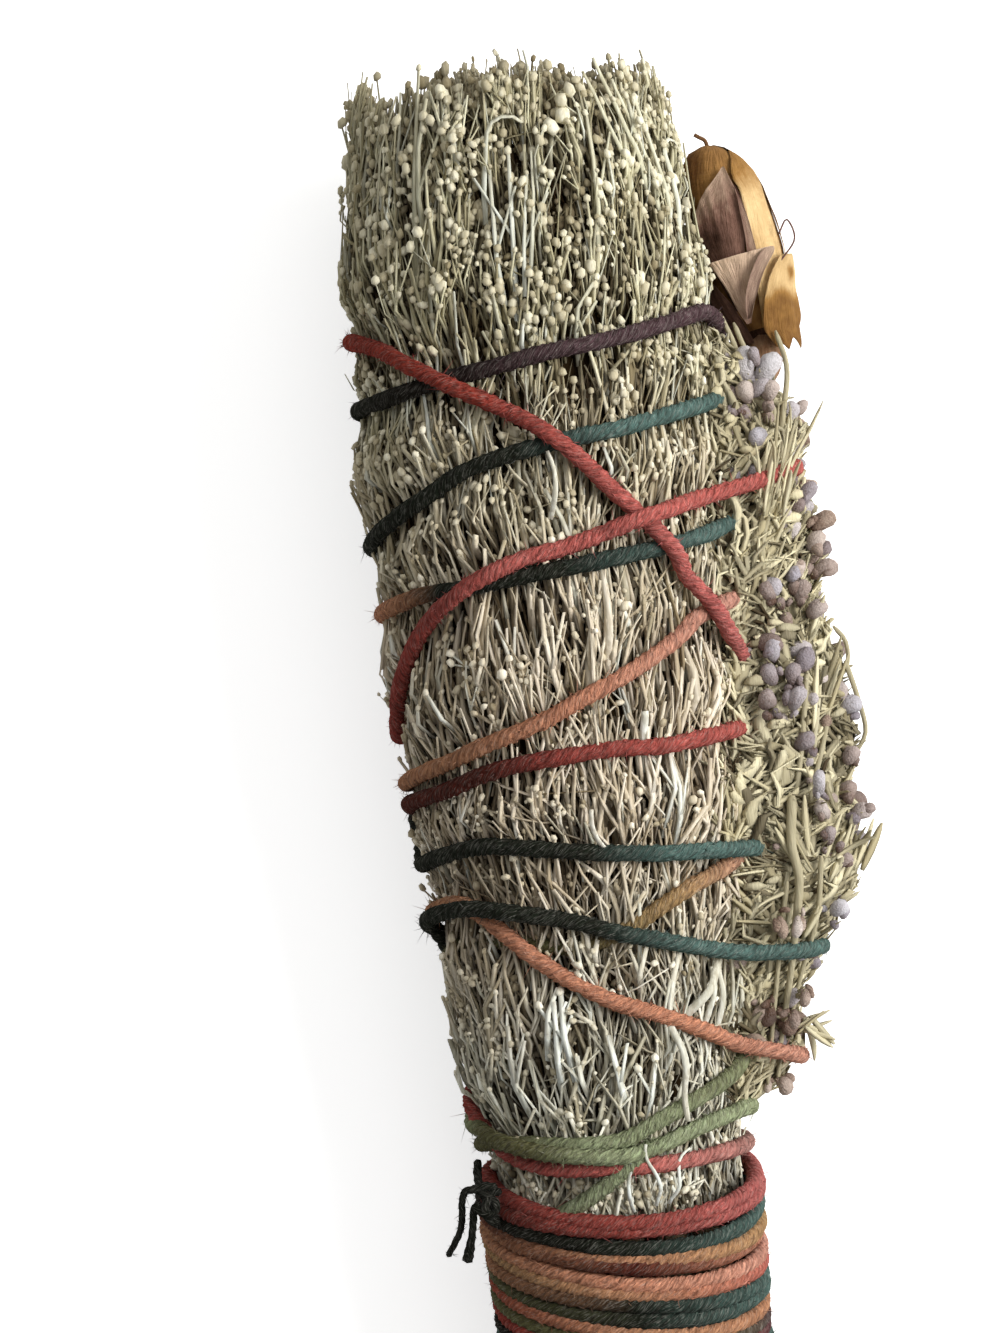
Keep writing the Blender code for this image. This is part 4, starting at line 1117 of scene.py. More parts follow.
def spin_yarn(name, places, dyes, diameter, settings):
    """Plied yarn along places in metres, with the dye at each, as a part of a piece.

    diameter is in millimetres, one number or one for each place. The curve's tilt lays the strands round
    each other.
    """
    outline = make_ply_outline(settings.plies)
    data = bpy.data.curves.new(name, "CURVE")
    data.dimensions = "3D"
    data.bevel_mode = "OBJECT"
    data.bevel_object = outline
    line = data.splines.new("POLY")
    count = len(places)
    line.points.add(count - 1)
    travelled = measured(places) / MM
    tilt = -2 * math.pi * travelled / settings.ply_lead + 1.6 * noise_at(travelled * 0.21, 3.3, 0.0)
    thick = 1 + 0.1 * noise_at(travelled * 0.5, 0.0, 7.1) + 0.1 * noise_at(travelled * 0.16, 4.0, 1.1)
    ends = np.clip(np.minimum(travelled, travelled[-1] - travelled) / 0.5 + 0.35, 0, 1)
    line.points.foreach_set("co", np.column_stack((places, np.ones(count))).ravel())
    line.points.foreach_set("tilt", tilt)
    line.points.foreach_set("radius", thick * ends * diameter / 2 * MM)
    curve = link_object(name, data)
    bpy.context.view_layer.update()
    mesh = bpy.data.meshes.new_from_object(curve.evaluated_get(bpy.context.evaluated_depsgraph_get()))
    bpy.data.objects.remove(curve)
    bpy.data.objects.remove(outline)
    built = bmesh.new()
    built.from_mesh(mesh)
    bmesh.ops.holes_fill(built, edges=[edge for edge in built.edges if edge.is_boundary])
    bpy.data.meshes.remove(mesh)
    corners, triangles = as_arrays(built)
    sides = len(corners) // count
    around = np.tile(np.arange(sides) * 2 * math.pi / sides, count)
    tones = np.column_stack((np.repeat(dyes, sides, axis=0), np.arange(len(corners)) % 2))
    spots = stacked(1.1 * np.cos(around), 1.1 * np.sin(around), np.repeat(travelled, sides))
    return corners, triangles, tones, spots, 0


# Width of a loose fibre in millimetres.
FIBRE_WIDTH = 0.06


def fuzz_on(places, dyes, diameter, per_mm, rng, longest=1.0):
    """Loose fibres that stand off a yarn, as a part of a piece."""
    rows, triangles = rod(3, top=0)
    count = int(measured(places)[-1] / MM * per_mm)
    index = rng.integers(1, len(places) - 1, count)
    tangent = unit(places[index + 1] - places[index - 1])
    off = rng.normal(0, 1, (count, 3))
    off = unit(off - (off * tangent).sum(axis=1, keepdims=True) * tangent)
    direction = off * 0.75 + tangent * rng.normal(0, 0.8, (count, 1)) + rng.normal(0, 0.4, (count, 3))
    direction = unit(direction)
    side = unit(np.cross(direction, rng.normal(0, 1, (count, 3))))
    length = rng.gamma(2.0, 0.4, count)[:, None, None] * MM * longest
    start = places[index] + off * diameter * 0.44 * MM
    across, lift, rise = (rows[None, :, [axis]] for axis in range(3))
    corners = start[:, None] + direction[:, None] * rise * length
    other = np.cross(direction, side)
    corners = corners + (side[:, None] * across + other[:, None] * lift) * FIBRE_WIDTH * MM
    corners = corners.reshape(-1, 3)
    corners[:, 2] = np.maximum(corners[:, 2], 0.05 * MM)
    tones = np.column_stack((dyes[index] * 0.9 + 0.05, np.ones(count)))
    spots = np.repeat(stacked(0.0, 0.0, index * 0.4), len(rows), axis=0)
    tones = np.repeat(tones, len(rows), axis=0)
    return corners, repeated(triangles, count, len(rows)), tones, spots, 0


def dye_colours(turns, table, settings):
    """The dye at each turn from a table of (turn, dye name) in order."""
    stops, dyes = zip(*table)
    channels = np.array([tuple(getattr(settings, dye)) for dye in dyes]).T
    return np.column_stack([np.interp(turns, stops, channel) for channel in channels])


def bind_criss_cross(settings):
    """The yarn that crosses over the sage and the flowers."""
    rng = np.random.default_rng(31)
    turns, alongs, outs, _ = yarn_route().T
    fine = smooth_line(np.column_stack((place(turns, alongs, outs) / MM, turns)), 0.38)
    places, turns = fine[:, :3] * MM, fine[:, 3]
    laps = enumerate(dyes for *_, dyes in YARN_TURNS)
    table = [(turn + 360 * lap, dye) for lap, dyes in laps for turn, dye in dyes.items()]
    dyes = dye_colours(turns, table, settings)
    strands = [spin_yarn("criss_cross", places, dyes, YARN_DIAMETER * SPUN_THICKER, settings)]
    strands.append(fuzz_on(places, dyes, YARN_DIAMETER, settings.fuzz_per_mm, rng))
    make_piece("yarn_crossings", strands, [yarn_material()], ["yarn_criss_cross"])


# The first strand of the winding, as (turn, along), from where it comes out from under the criss-cross yarn.
WINDING_ENTRY = (
    (-140, 68.4), (-110, 68.4), (-90, 67.6), (-75, 65.2), (-55, 61.2), (-35, 59.4), (-15, 58.9), (10, 58.6),
    (35, 58.5), (60, 58.4), (90, 58), (120, 57.8), (150, 57.6), (180, 57.6), (215, 57.5), (245, 57),
)
# The winding's dyes, four for each turn from the highest one down: at the left side, on top, at the flower
# side and underneath. The dark green at the left side and on top is partly painted shade on the teal.
WINDING_DYES = (
    "crimson coral mauve tan", "crimson crimson rose maroon", "maroon crimson rose teal",
    "night pine teal teal", "maroon tan ochre tan", "tan maroon peach peach", "tan peach salmon rose",
    "ochre tan coral teal", "tan pine teal pine", "olive pine teal ochre", "brick tan tan peach",
    "olive olive plum maroon", "brick crimson plum night", "night pine teal teal",
    "teal leaf_green leaf_green olive", "ochre tan peach salmon", "salmon coral crimson crimson",
    "brick maroon plum night", "pine teal teal leaf_green", "leaf_green olive ochre tan",
    "peach salmon coral crimson", "crimson brick maroon plum", "pine pine teal teal",
    "olive ochre tan peach", "peach coral crimson maroon",
)
# How far the outside of the winding is from the middle of the bunch, along the stick.
WINDING_OUTSIDE = (
    (9, 18), (14, 18.5), (34, 19), (52, 20.1), (55.5, 19.7), (57.4, 19.2), (60, 19.3), (67, 20.6),
)
# The end of the light green yarn that comes up out of the winding, as (turn, along, out).
GREEN_END = (
    (-44, 50.4, 17.2), (-30, 52.6, 18.4), (-15, 55, 18.5), (-2, 57.6, 18.4), (9, 60.2, 18.2), (18, 61.6, 17),
)
# How far the winding sags on top and rises underneath, where its highest turn lies along the stick, and the
# angle round the bunch at which a turn is lowest, by its place along the stick.
WINDING_SAG = 3.9
WINDING_TOP = 56.0
WINDING_LOWEST = ((10, 20), (36, 40), (44, 40), (56, 18))


def wind_handle(settings):
    """The close winding on the handle, turn beside turn."""
    rng = np.random.default_rng(47)
    radius = YARN_DIAMETER / 2
    laps = (WINDING_TOP - WINDING_START - radius - WINDING_SAG * 0.35) / settings.winding_pitch
    turns = np.arange(270.0, 270.0 + 360 * laps, 2.5)
    lap = (turns - 270) / 360
    pile = noise_at(turns / 80, 5.0, 2.0)
    sag = WINDING_SAG + 1.1 * noise_at(turns / 420, 11.0, 2.0)
    sag = sag * np.clip(0.35 + 0.12 * (laps - lap), 0.35, 1.0)
    along = WINDING_TOP - settings.winding_pitch * lap
    along = along - sag * np.cos(np.radians(turns - profile(WINDING_LOWEST, along)))
    along = along + 0.8 * noise_at(turns / 150, 0.0, 2.0) + 0.4 * noise_at(turns / 62, 7.0, 2.0)
    along = np.maximum(along, WINDING_START + radius)
    entry = smooth_line([(turn, along, 0.0) for turn, along in WINDING_ENTRY], 2.5)
    turns, along, pile = np.vstack((entry, np.column_stack((turns, along, pile)))).T
    places = place(turns, along, profile(WINDING_OUTSIDE, along) - radius + 0.7 * pile)
    fine = smooth_line(np.column_stack((places / MM, turns)), 0.5)
    places, turns = settle(fine[:, :3] * MM, 0.2), fine[:, 3]
    quarters = enumerate(" ".join(WINDING_DYES).split(), start=-1)
    dyes = dye_colours(turns, [(90 * number, dye) for number, dye in quarters], settings)
    strands = [spin_yarn("winding", places, dyes, YARN_DIAMETER * SPUN_THICKER, settings)]
    strands.append(fuzz_on(places, dyes, YARN_DIAMETER, settings.fuzz_per_mm * 0.5, rng))
    end = smooth_line(place(*np.array(GREEN_END).T) / MM, 0.5) * MM
    dyes = np.tile(np.array(tuple(settings.leaf_green)) * 0.8, (len(end), 1))
    strands.append(spin_yarn("green_end", end, dyes, YARN_DIAMETER, settings))
    strands.append(fuzz_on(end, dyes, YARN_DIAMETER, settings.fuzz_per_mm * 2, rng))
    make_piece("yarn_winding", strands, [yarn_material()], ["yarn_handle_winding"])


# The middle of the knot as (lateral, along, up), and its strands, each point as its distances from that
# middle and the yarn's diameter, all in millimetres. The first strand comes down the side, the next two wrap
# it and end as the tails, and the last wraps it.
KNOT_MIDDLE = (-18.9, 55.4, 11.4)
KNOT_STRANDS = (
    (
        (-0.2, 4.6, -4.6, 1.2), (-0.4, 3.2, -2.8, 1.3), (-0.3, 1.8, -0.8, 1.3), (0.3, 0.4, 0.9, 1.3),
        (0.9, -1.2, 1.3, 1.3), (1.3, -2.6, 0.8, 1.3), (1.9, -3.6, -0.6, 1.3),
    ),
    (
        (2, 1.4, 0.4, 1.3), (0.7, 1.9, 1.5, 1.3), (-0.8, 1.7, 1.7, 1.2), (-2.2, 1.3, 0.8, 1.1),
        (-2.8, -0.2, 0, 1), (-3, -2.2, -1, 0.95), (-3.5, -4.4, -2.2, 0.95), (-4.6, -6.4, -3.2, 1),
        (-5.6, -8, -4, 1),
    ),
    (
        (-1.2, 1.6, -0.4, 1.3), (0.3, 0.9, 1.6, 1.3), (1.6, -0.2, 1.8, 1.3), (1.5, -1.6, 1.6, 1.2),
        (0.1, -1.7, 1.8, 1.2), (-1.1, -0.8, 1.2, 1.1), (-1.5, -2.6, 0.2, 1.1), (-1.9, -4.8, -1, 1.1),
        (-2.4, -6.8, -2, 1.5), (-3, -8.8, -2.9, 1.7),
    ),
    (
        (2.3, 0.6, -0.6, 1.3), (1.7, 1, 0.9, 1.3), (0.8, 0.2, 1.9, 1.3), (0.2, -1.2, 1.8, 1.3),
        (0.7, -2.6, 1, 1.3), (1.5, -3.4, -0.2, 1.3),
    ),
)


def tie_knot(settings):
    """The knot on the left of the winding, with its two cut ends."""
    rng = np.random.default_rng(53)
    lateral, along, up = KNOT_MIDDLE
    strands = []
    for points in KNOT_STRANDS:
        line = smooth_line(points, 0.3)
        places = aside_place(along, lateral, up) + line[:, :3] * MM
        # The knot's yarn is the dark green dye at a little over half its brightness: painted shade on the
        # knot.
        dyes = np.tile(np.array(tuple(settings.pine)) * 0.55, (len(line), 1))
        strands.append(spin_yarn("knot", places, dyes, line[:, 3], settings))
        strands.append(fuzz_on(places, dyes, 1.1, settings.fuzz_per_mm, rng, 0.7))
    make_piece("yarn_knot_and_tails", strands, [yarn_material()], ["yarn_knot"])


# The sprigs on the flower side. Each point is its place along the stick, its distance beyond the tied
# radius, its height over the middle and its radius, in millimetres.
ROSE_STEM = (
    (65, 3.4, 0, 0.7), (75, 4.2, 0, 0.8), (95, 5.6, 0, 0.9), (120, 5.6, 0, 0.9), (145, 5.5, 0, 0.9),
    (156, 6.5, -0.9, 0.95), (161, 7.3, -1.7, 1.2), (163.6, 7.7, -2.1, 2.3), (166, 8, -2.4, 2.7),
    (168.2, 8.2, -2.6, 2.2),
)
NEEDLE_SPRIG_UPPER = (
    (100, 6.2, 4.2, 0.8), (112, 8.4, 4.4, 0.9), (124, 8.6, 4.4, 0.9), (134, 7.6, 4.3, 0.8),
    (141, 6.8, 4.2, 0.8), (146, 6.6, 3.8, 0.7), (151, 6.5, 3.7, 0.6), (156, 7, 3.9, 0.6),
    (161, 7.6, 4.2, 0.4),
)
NEEDLE_SPRIG_LOWER = (
    (65, 3.8, 2.5, 0.4), (74, 4.9, 3.2, 0.5), (86, 7, 4.2, 0.8), (92, 7.8, 4.4, 0.9), (98, 7.4, 4.3, 0.8),
    (104, 7.8, 4.6, 0.7),
)
LAVENDER_SPRIG_UPPER = (
    (102, 6.8, -4.5, 0.7), (112, 8.8, -4.6, 0.7), (126, 9.4, -4.6, 0.7), (142, 9, -4.2, 0.7),
    (151, 7.5, -3.8, 0.7), (160, 7.6, -3.4, 0.6),
)
LAVENDER_SPRIG_LOWER = (
    (65, 3.8, -2.5, 0.4), (75, 5.2, -3.7, 0.5), (84, 7.2, -4.6, 0.7), (96, 8.4, -4.6, 0.7),
    (101, 7.6, -4.4, 0.5),
)


def sprig_line(points, step=1.0):
    """A sprig's middle line, a step apart, as places in metres and radii in millimetres."""
    rows = [
        (float(profile(TIED_RADIUS, along)) + beyond, along, up, radius)
        for along, beyond, up, radius in points
    ]
    lateral, along, up, radius = smooth_line(rows, step).T
    return aside_place(along, lateral, up), radius


def ways_along(places):
    """The direction of a line at its places, and two directions across it, the second one upwards."""
    ahead = unit(np.gradient(places, axis=0))
    across = unit(np.cross(ahead, (0.05, 0.02, 1.0)))
    return ahead, across, np.cross(across, ahead)


def tube(places, radii, tone, sides=7):
    """A closed round body along places in metres with radii in millimetres, with an even tone."""
    _, across, upwards = ways_along(places)
    angles = np.linspace(0, 2 * math.pi, sides, endpoint=False)
    round_it = across[:, None] * np.cos(angles)[None, :, None]
    round_it = round_it + upwards[:, None] * np.sin(angles)[None, :, None]
    rings = places[:, None] + round_it * np.broadcast_to(radii, len(places))[:, None, None] * MM
    return toned(grow(list(rings)), tone)


@functools.lru_cache
def blade_shape():
    """A needle or leaf of length 1 and radius 1 with four sides, cut across so that it can bend."""
    return rod(4, (0.15, 0.4, 0.65, 0.87))


@functools.lru_cache
def herb_bud_shape():
    """A ribbed bud of length 1 and radius 1, narrower at its foot."""
    built = bmesh.new()
    bmesh.ops.create_icosphere(built, subdivisions=2, radius=1.0)
    corners, triangles = as_arrays(built)
    across, lift, rise = corners.T
    ribs = 1 + 0.07 * np.cos(7 * np.arctan2(lift, across)) * (1 - rise**2)
    ribs = ribs + 0.28 * noise_at(*(corners * 1.7).T)
    girth = (0.87 + 0.13 * rise) * ribs
    return stacked(across * girth, lift * girth, (rise + 1) / 2), triangles


def lay(shape, roots, ahead, lifting, sizes, marks, pointed=True):
    """Copies of a blade or bud, as corners, triangles, tones and own places.

    Each has a root in metres, the direction ahead, the direction that it bends to, sizes of (length, width,
    thickness, bend in radians) in millimetres and marks of (light, hue, shade).
    """
    rows, triangles = shape
    across, lift, share = (column[None, :, None] for column in rows.T)
    roots, ahead, lifting = (np.asarray(values, float)[:, None] for values in (roots, ahead, lifting))
    sizes, marks = np.asarray(sizes, float), np.asarray(marks, float)
    length, width, thickness, bend = (column[:, None, None] for column in sizes.T)
    ahead = unit(ahead)
    side = unit(np.cross(ahead, lifting))
    lifting = np.cross(side, ahead)
    bend = np.where(np.abs(bend) < 0.02, 0.02, bend)
    forwards, sideways = np.sin(bend * share) / bend, (1 - np.cos(bend * share)) / bend
    facing = lifting * np.cos(bend * share) - ahead * np.sin(bend * share)
    taper = (0.5 + 0.5 * np.sin(math.pi * share) ** 0.7) * (1 - 0.5 * share**8) if pointed else 1.0
    corners = roots + (ahead * forwards + lifting * sideways) * length * MM
    corners = corners + (side * across * width / 2 + facing * lift * thickness / 2) * taper * MM
    corners = corners.reshape(-1, 3)
    corners[:, 2] = np.maximum(corners[:, 2], 0.2 * MM)
    count = len(sizes)
    tones = stacked(share[..., 0], *(column[:, None] for column in marks.T))
    spots = (across * width / 2)[..., 0], (share * length)[..., 0], np.arange(count)[:, None] * 3.7
    triangles = repeated(triangles, count, len(rows))
    return corners, triangles, tones.reshape(-1, 4), stacked(*spots).reshape(-1, 3)


def whorls(rng, line, count, gap, lengths, widths, spreads, lowest=0.0):
    """Where needles or buds grow round a sprig: roots, directions ahead, bending directions and sizes.

    lowest is the distance along the stick from which they grow.
    """
    places, _ = line
    ahead, across, upwards = ways_along(places)
    first = int((places[:, 1] / MM - BASE_Y < lowest).sum())
    stations = np.arange(first + 1.5, len(places) - 1, gap)
    index = np.repeat(stations.astype(int), count)
    size = len(index)
    number = np.tile(np.arange(count), len(stations))
    angle = 2 * math.pi * (number / count + rng.uniform(-0.09, 0.09, size))
    angle = angle + np.repeat(rng.uniform(0, 2 * math.pi, len(stations)), count)
    away = across[index] * np.cos(angle)[:, None] + upwards[index] * np.sin(angle)[:, None]
    spread = np.radians(rng.uniform(*spreads, size))[:, None]
    way = ahead[index] * np.cos(spread) + away * np.sin(spread) + rng.normal(0, 0.12, (size, 3))
    length = rng.uniform(*lengths, size) * (1 - 0.5 * np.clip(-away[:, 0] - 0.3, 0, 1))
    width = rng.uniform(*widths, size)
    roots = places[index] + away * 0.5 * MM + ahead[index] * rng.uniform(-0.6, 0.6, (size, 1)) * MM
    return roots, way, away, length, width


# Needles that stand out on the flower side, each as its foot and tip (along, lateral, up) and its width.
LOOSE_NEEDLES_UPPER = (
    ((148, 31, 4), (156.2, 38.1, 3), 0.9), ((148.2, 30.6, 4.5), (157.6, 33.6, 4), 1),
    ((148.2, 30.6, 4.5), (158.6, 32.2, 5), 1.1), ((148.3, 30.2, 5), (155.6, 30.3, 6.5), 1),
    ((148, 29.6, 5), (154.2, 27.2, 7), 0.9), ((148, 29.4, 5), (152.4, 25.4, 7), 0.8),
    ((149.5, 31.2, 5), (158.8, 33.2, 4), 1), ((139.7, 27.4, 6), (146.7, 26.4, 8.5), 0.9),
    ((139.7, 27.4, 6), (148.4, 30.7, 8.2), 0.9), ((139.5, 27.6, 6), (147.6, 28.7, 8.8), 1),
    ((138.2, 27.6, 6), (145.4, 32.4, 7), 0.9), ((136.4, 27.2, 6), (143, 31.6, 7.4), 0.9),
    ((134.2, 26.6, 6), (140.2, 30.2, 7.6), 1), ((128.4, 26.3, 6.5), (138.8, 30, 8), 1),
    ((143.8, 28, 10.6), (152.4, 30, 12.6), 0.9), ((144.6, 29.2, 10.2), (153.2, 31.4, 11.6), 0.9),
    ((146.2, 29, 11.6), (156, 32.6, 10.4), 0.9), ((145, 30.4, 10), (154.8, 33.8, 8.4), 0.9),
    ((145.6, 27.6, 11.4), (153, 28.6, 12.6), 0.8), ((143, 30.6, 9.4), (151.6, 33, 9.6), 1),
    ((111.7, 32.5, 6), (123.5, 37.9, 3), 1.3), ((111.7, 32.2, 6.4), (122.6, 35.6, 5), 1.2),
    ((112.2, 32, 6.8), (123.8, 33.4, 6), 1.3), ((117.4, 31, 7), (126.8, 32.6, 6.4), 1.4),
    ((106.4, 31, 7), (116.6, 30.4, 7.6), 1.3), ((108, 30.4, 7), (118.4, 34.4, 6), 1.1),
    ((126, 33, 5), (132.6, 35.4, 3), 1.1), ((103.2, 33, 5), (108.6, 36.6, 3), 1.2),
)
LOOSE_NEEDLES_LOWER = (
    ((94.1, 29.1, 7.6), (101.8, 24.6, 8.8), 1.2), ((94.4, 29.3, 7.8), (100.4, 25.6, 8.6), 1),
    ((94.1, 29.1, 7.6), (92.3, 23, 9), 1.1), ((94.4, 29.4, 7.8), (93.4, 24.6, 9.2), 0.8),
    ((95.8, 32.9, 6), (101, 36.2, 4), 1.2), ((95, 31.6, 6), (102.4, 34.6, 5), 1.2),
    ((93.1, 32.4, 6), (100.3, 36.4, 4), 1.2), ((92.4, 33.4, 5), (99.2, 37.6, 2), 1.3),
    ((94.1, 36.2, 3), (100.6, 40.3, 1), 1.4), ((93.4, 35.4, 3), (98.6, 39.2, 1), 1.3),
    ((90, 26.5, 7), (92.1, 22.3, 9), 0.8), ((96.6, 30, 7), (106, 29, 8), 1.3),
    ((86.6, 26, 6), (90, 24.6, 8), 1.2), ((85.6, 28, 6), (90, 31, 7), 1),
    ((72.7, 25.9, 6), (75.4, 30, 5), 0.8), ((73.6, 27.2, 6), (70.2, 30.4, 5), 1.3),
    ((73, 27, 5.6), (71.6, 31.2, 5.2), 0.9),
)
# Stems that show between the needles, as points of (along, lateral, up), with a radius at each end.
BARE_STEMS_UPPER = (
    (((128.4, 26.2, 8.2), (133, 27.2, 8.6), (139.6, 27.6, 8.2), (147, 30.2, 7)), 0.42, 0.4),
    (((104.4, 28.6, 7), (112, 30.2, 7.4), (122, 32, 7)), 0.45, 0.4),
    (((104.4, 30.6, 6.4), (113, 33.6, 6), (120, 35.4, 4)), 0.4, 0.35),
    (((122.7, 37.8, 1.5), (118, 39, 1), (113, 39.8, 0.6), (110, 38.2, 1)), 0.4, 0.3),
    (((127.6, 36.6, 2), (125.2, 38.2, 1.4), (121.8, 38, 1), (119.6, 35.6, 2)), 0.35, 0.25),
    (((170, 27, 4), (165.4, 28.4, 5), (160, 31, 5), (150, 31, 5)), 0.35, 0.4),
    (((168.4, 32.6, 3.4), (163, 33.6, 4), (156, 32.2, 5), (149, 31.2, 4.6)), 0.35, 0.45),
    (((171.6, 25.2, 4), (166, 27, 4.6), (160.4, 27.4, 5)), 0.35, 0.4),
)
BARE_STEMS_LOWER = (
    (
        (
            (65.5, 22.8, 3.4), (72.6, 24, 4.2), (80, 25.6, 6.4), (88, 27, 9), (94.2, 28, 9.4),
            (99, 27.4, 9.4), (105.4, 28.2, 8.6),
        ), 0.3, 0.75,
    ),
    (((66, 21.4, 4.6), (74, 22.8, 5.4), (84.6, 24.6, 7.4), (94, 26.4, 9)), 0.3, 0.4),
    (((72.6, 25, 2.4), (80.6, 27.4, 4.4), (88.6, 30.2, 6.4), (96.8, 31.4, 8)), 0.3, 0.4),
)
# Buds and dry bracts that stand out on the flower side, each as (along, lateral, up) of its foot, length,
# width, the way it points in degrees from straight ahead, light, and hue from pink to lilac.
LOOSE_BUDS_UPPER = (
    ((161.4, 27.4, 6.6), 5.8, 4, 8, 1, 0.75), ((161, 29.4, 6.4), 5.4, 3.8, 34, 1, 0.85),
    ((162, 26.4, 6.2), 4.6, 2.8, -24, 0.75, 0.5), ((158.8, 27.8, 8.2), 3.4, 3.1, -20, 0.85, 0.1),
    ((158.6, 30, 8), 3.4, 3, 25, 0.75, 0.2), ((156.6, 25.6, 8), 3.4, 3, -50, 0.6, 0.75),
    ((156, 27.6, 8), 3, 2.8, -30, 0.55, 0.5), ((155, 32.6, 2), 4.4, 3.2, 25, 0.85, 0.8),
    ((149, 32.2, 1), 3.8, 3.2, 25, 1, 0.8), ((144, 33.2, 2.6), 4.8, 2.7, 38, 0.6, 0.85),
    ((143, 32.6, 2.4), 3.6, 2.2, 60, 0.85, 0.7), ((141, 35, 1.4), 4.2, 3.2, 60, 0.45, 0),
    ((139.4, 31.6, 4), 3.6, 2.6, 20, 0.95, 0.4), ((137.8, 34.2, 2.4), 3.8, 3, 35, 0.8, 0.1),
    ((135, 34.4, 2.4), 4, 3.2, 75, 0.55, 0.25), ((134, 31.6, 5), 3.6, 2.8, 20, 0.8, 0.1),
    ((131.8, 28.4, 8.6), 3.2, 2.8, -30, 0.5, 0.4), ((131.4, 31.6, 5), 3.6, 3, 30, 0.5, 0.3),
    ((129, 33, 5), 3.6, 3, 50, 0.7, 0.3), ((127.4, 30.2, 6.4), 3, 2.4, -10, 0.4, 0.2),
    ((123.6, 27.2, 10.4), 3.6, 2.8, 8, 0.8, 0.95), ((120.4, 27.2, 10.6), 3.4, 3, -20, 0.6, 0.75),
    ((117.6, 26.8, 10.8), 3, 3.1, -35, 0.55, 0.5), ((116.8, 29, 10.4), 4, 2.8, 30, 0.75, 0.8),
    ((120, 29.6, 9.6), 3.6, 2.8, 10, 0.5, 0.7), ((116, 36.4, 1.6), 3.6, 3.3, 70, 0.85, 1),
    ((113.6, 36.8, 0.8), 3.4, 2.2, 20, 0.75, 0.9), ((108.6, 36.2, 3), 3.2, 2.8, 40, 0.55, 0.4),
    ((105, 32, 9.4), 3.8, 2.2, 0, 0.9, 0.9), ((103.4, 35.8, 3.2), 3.4, 3, 20, 0.45, 0.3),
    ((101.4, 36.4, 2.4), 3.4, 3, 70, 0.75, 0.4), ((101.6, 33, 7), 3.2, 2.6, -30, 0.85, 0.3),
)
LOOSE_BUDS_LOWER = (
    ((88.6, 32, 6.6), 3.1, 2.9, 60, 0.95, 1), ((89.6, 24.6, 11.6), 3.4, 2, 172, 0.5, 0),
    ((89.4, 27.2, 11.4), 3.4, 1.9, 190, 0.95, 0), ((95, 33.6, 4.6), 2.8, 2.6, 60, 0.5, 0.4),
    ((98, 32.6, 6.6), 3, 2.4, 10, 0.5, 0.6), ((79, 27.6, 7.4), 2.8, 1.9, 190, 0.6, 0.1),
    ((76.6, 25.6, 9.6), 3, 2, 185, 0.45, 0.2), ((77.2, 22.8, 7), 3.4, 2.6, 200, 0.12, 0.2),
    ((75.2, 24.4, 4.6), 3.2, 3, 160, 0.08, 0.1), ((74, 23.4, 4.6), 3, 2.8, 20, 0.1, 0.1),
    ((73.6, 25.4, 2.6), 2.8, 2.6, 60, 0.15, 0.1), ((66.9, 23.4, 3.6), 3, 2.7, 165, 0.65, 0.1),
    ((66.8, 21.6, 4), 2.2, 1.4, 190, 0.8, 0),
)


def loose_needles(rng, table):
    """The needles of a table, each with two more beside it, set lower and darker with painted shade."""
    feet, ways, sizes, marks = [], [], [], []
    for foot, tip, width in table:
        for copy in range(3):
            nudge = rng.normal(0, 0.75 * (copy > 0), 6)
            start = aside_place(*(foot + nudge[:3] - (0, 0, 0.7 * copy)))
            end = aside_place(*(tip + nudge[3:] * (1.6, 1.2, 1) - (0, 0, 0.9 * copy)))
            feet.append(start)
            ways.append(end - start)
            length = np.linalg.norm(end - start) / MM
            sizes.append((length, width * rng.uniform(0.5, 0.95), 0.32, rng.normal(0, 0.9)))
            # Each extra copy is darker and more shaded: painted shade under the front needle.
            marks.append((1.0 - 0.17 * copy + rng.uniform(-0.15, 0.05), rng.random() ** 2, 0.12 * copy))
    lifting = (0.0, 0.0, 1.0) + rng.normal(0, 0.3, (len(feet), 3))
    return lay(blade_shape(), feet, ways, lifting, sizes, marks)


def bare_stems(table):
    """Bare stems along their points."""
    parts = []
    for points, first, last in table:
        lateral, along, up = smooth_line([(lateral, along, up) for along, lateral, up in points], 1.0).T
        radii = np.linspace(first, last, len(along))
        radii[[0, -1]] *= 0.5
        parts.append(tube(aside_place(along, lateral, up), radii, (0.3, 0.62, 0.4, 0.1)))
    return parts


def loose_buds(rng, table, line):
    """The buds of a table, each with three smaller ones set lower and darker with painted shade, and the
    thin stalks that hold them to the sprig.
    """
    feet, ways, sizes, marks = [], [], [], []
    for foot, length, width, facing, light, hue in table:
        # The smaller buds sink lower and turn darker by their share of painted shade.
        for size, darker in ((0.95, 0.0), (0.6, 0.25), (0.5, 0.4), (0.4, 0.1)):
            nudge = np.clip(rng.normal(0, 0.42 * width, 3), -0.5 * width, 0.5 * width) * (darker > 0)
            nudge[2] -= 0.5 * width * darker
            feet.append(aside_place(*(foot + nudge)))
            angle = math.radians(facing + 90 * darker * rng.normal())
            ways.append((math.sin(angle), math.cos(angle), rng.uniform(-0.1, 0.4)))
            sizes.append((length * size, width * size, width * size * 0.92, rng.normal(0, 0.3)))
            marks.append((max(light - darker, 0.0), hue, 0.0))
    lifting = np.tile((0.0, 0.0, 1.0), (len(feet), 1))
    buds = lay(herb_bud_shape(), feet, ways, lifting, sizes, marks, pointed=False)
    places, feet = line[0], np.array(feet)
    nearest = np.abs(places[None, :, 1] - (feet[:, 1:2] - 5 * MM)).argmin(axis=1)
    held = feet - places[nearest]
    sizes = stacked(np.linalg.norm(held, axis=1) / MM + 0.6, 0.5, 0.4, 0.1)
    marks = np.tile((0.4, 0.5, 0.3), (len(feet), 1))
    return buds, lay(blade_shape(), places[nearest], held, lifting, sizes, marks)


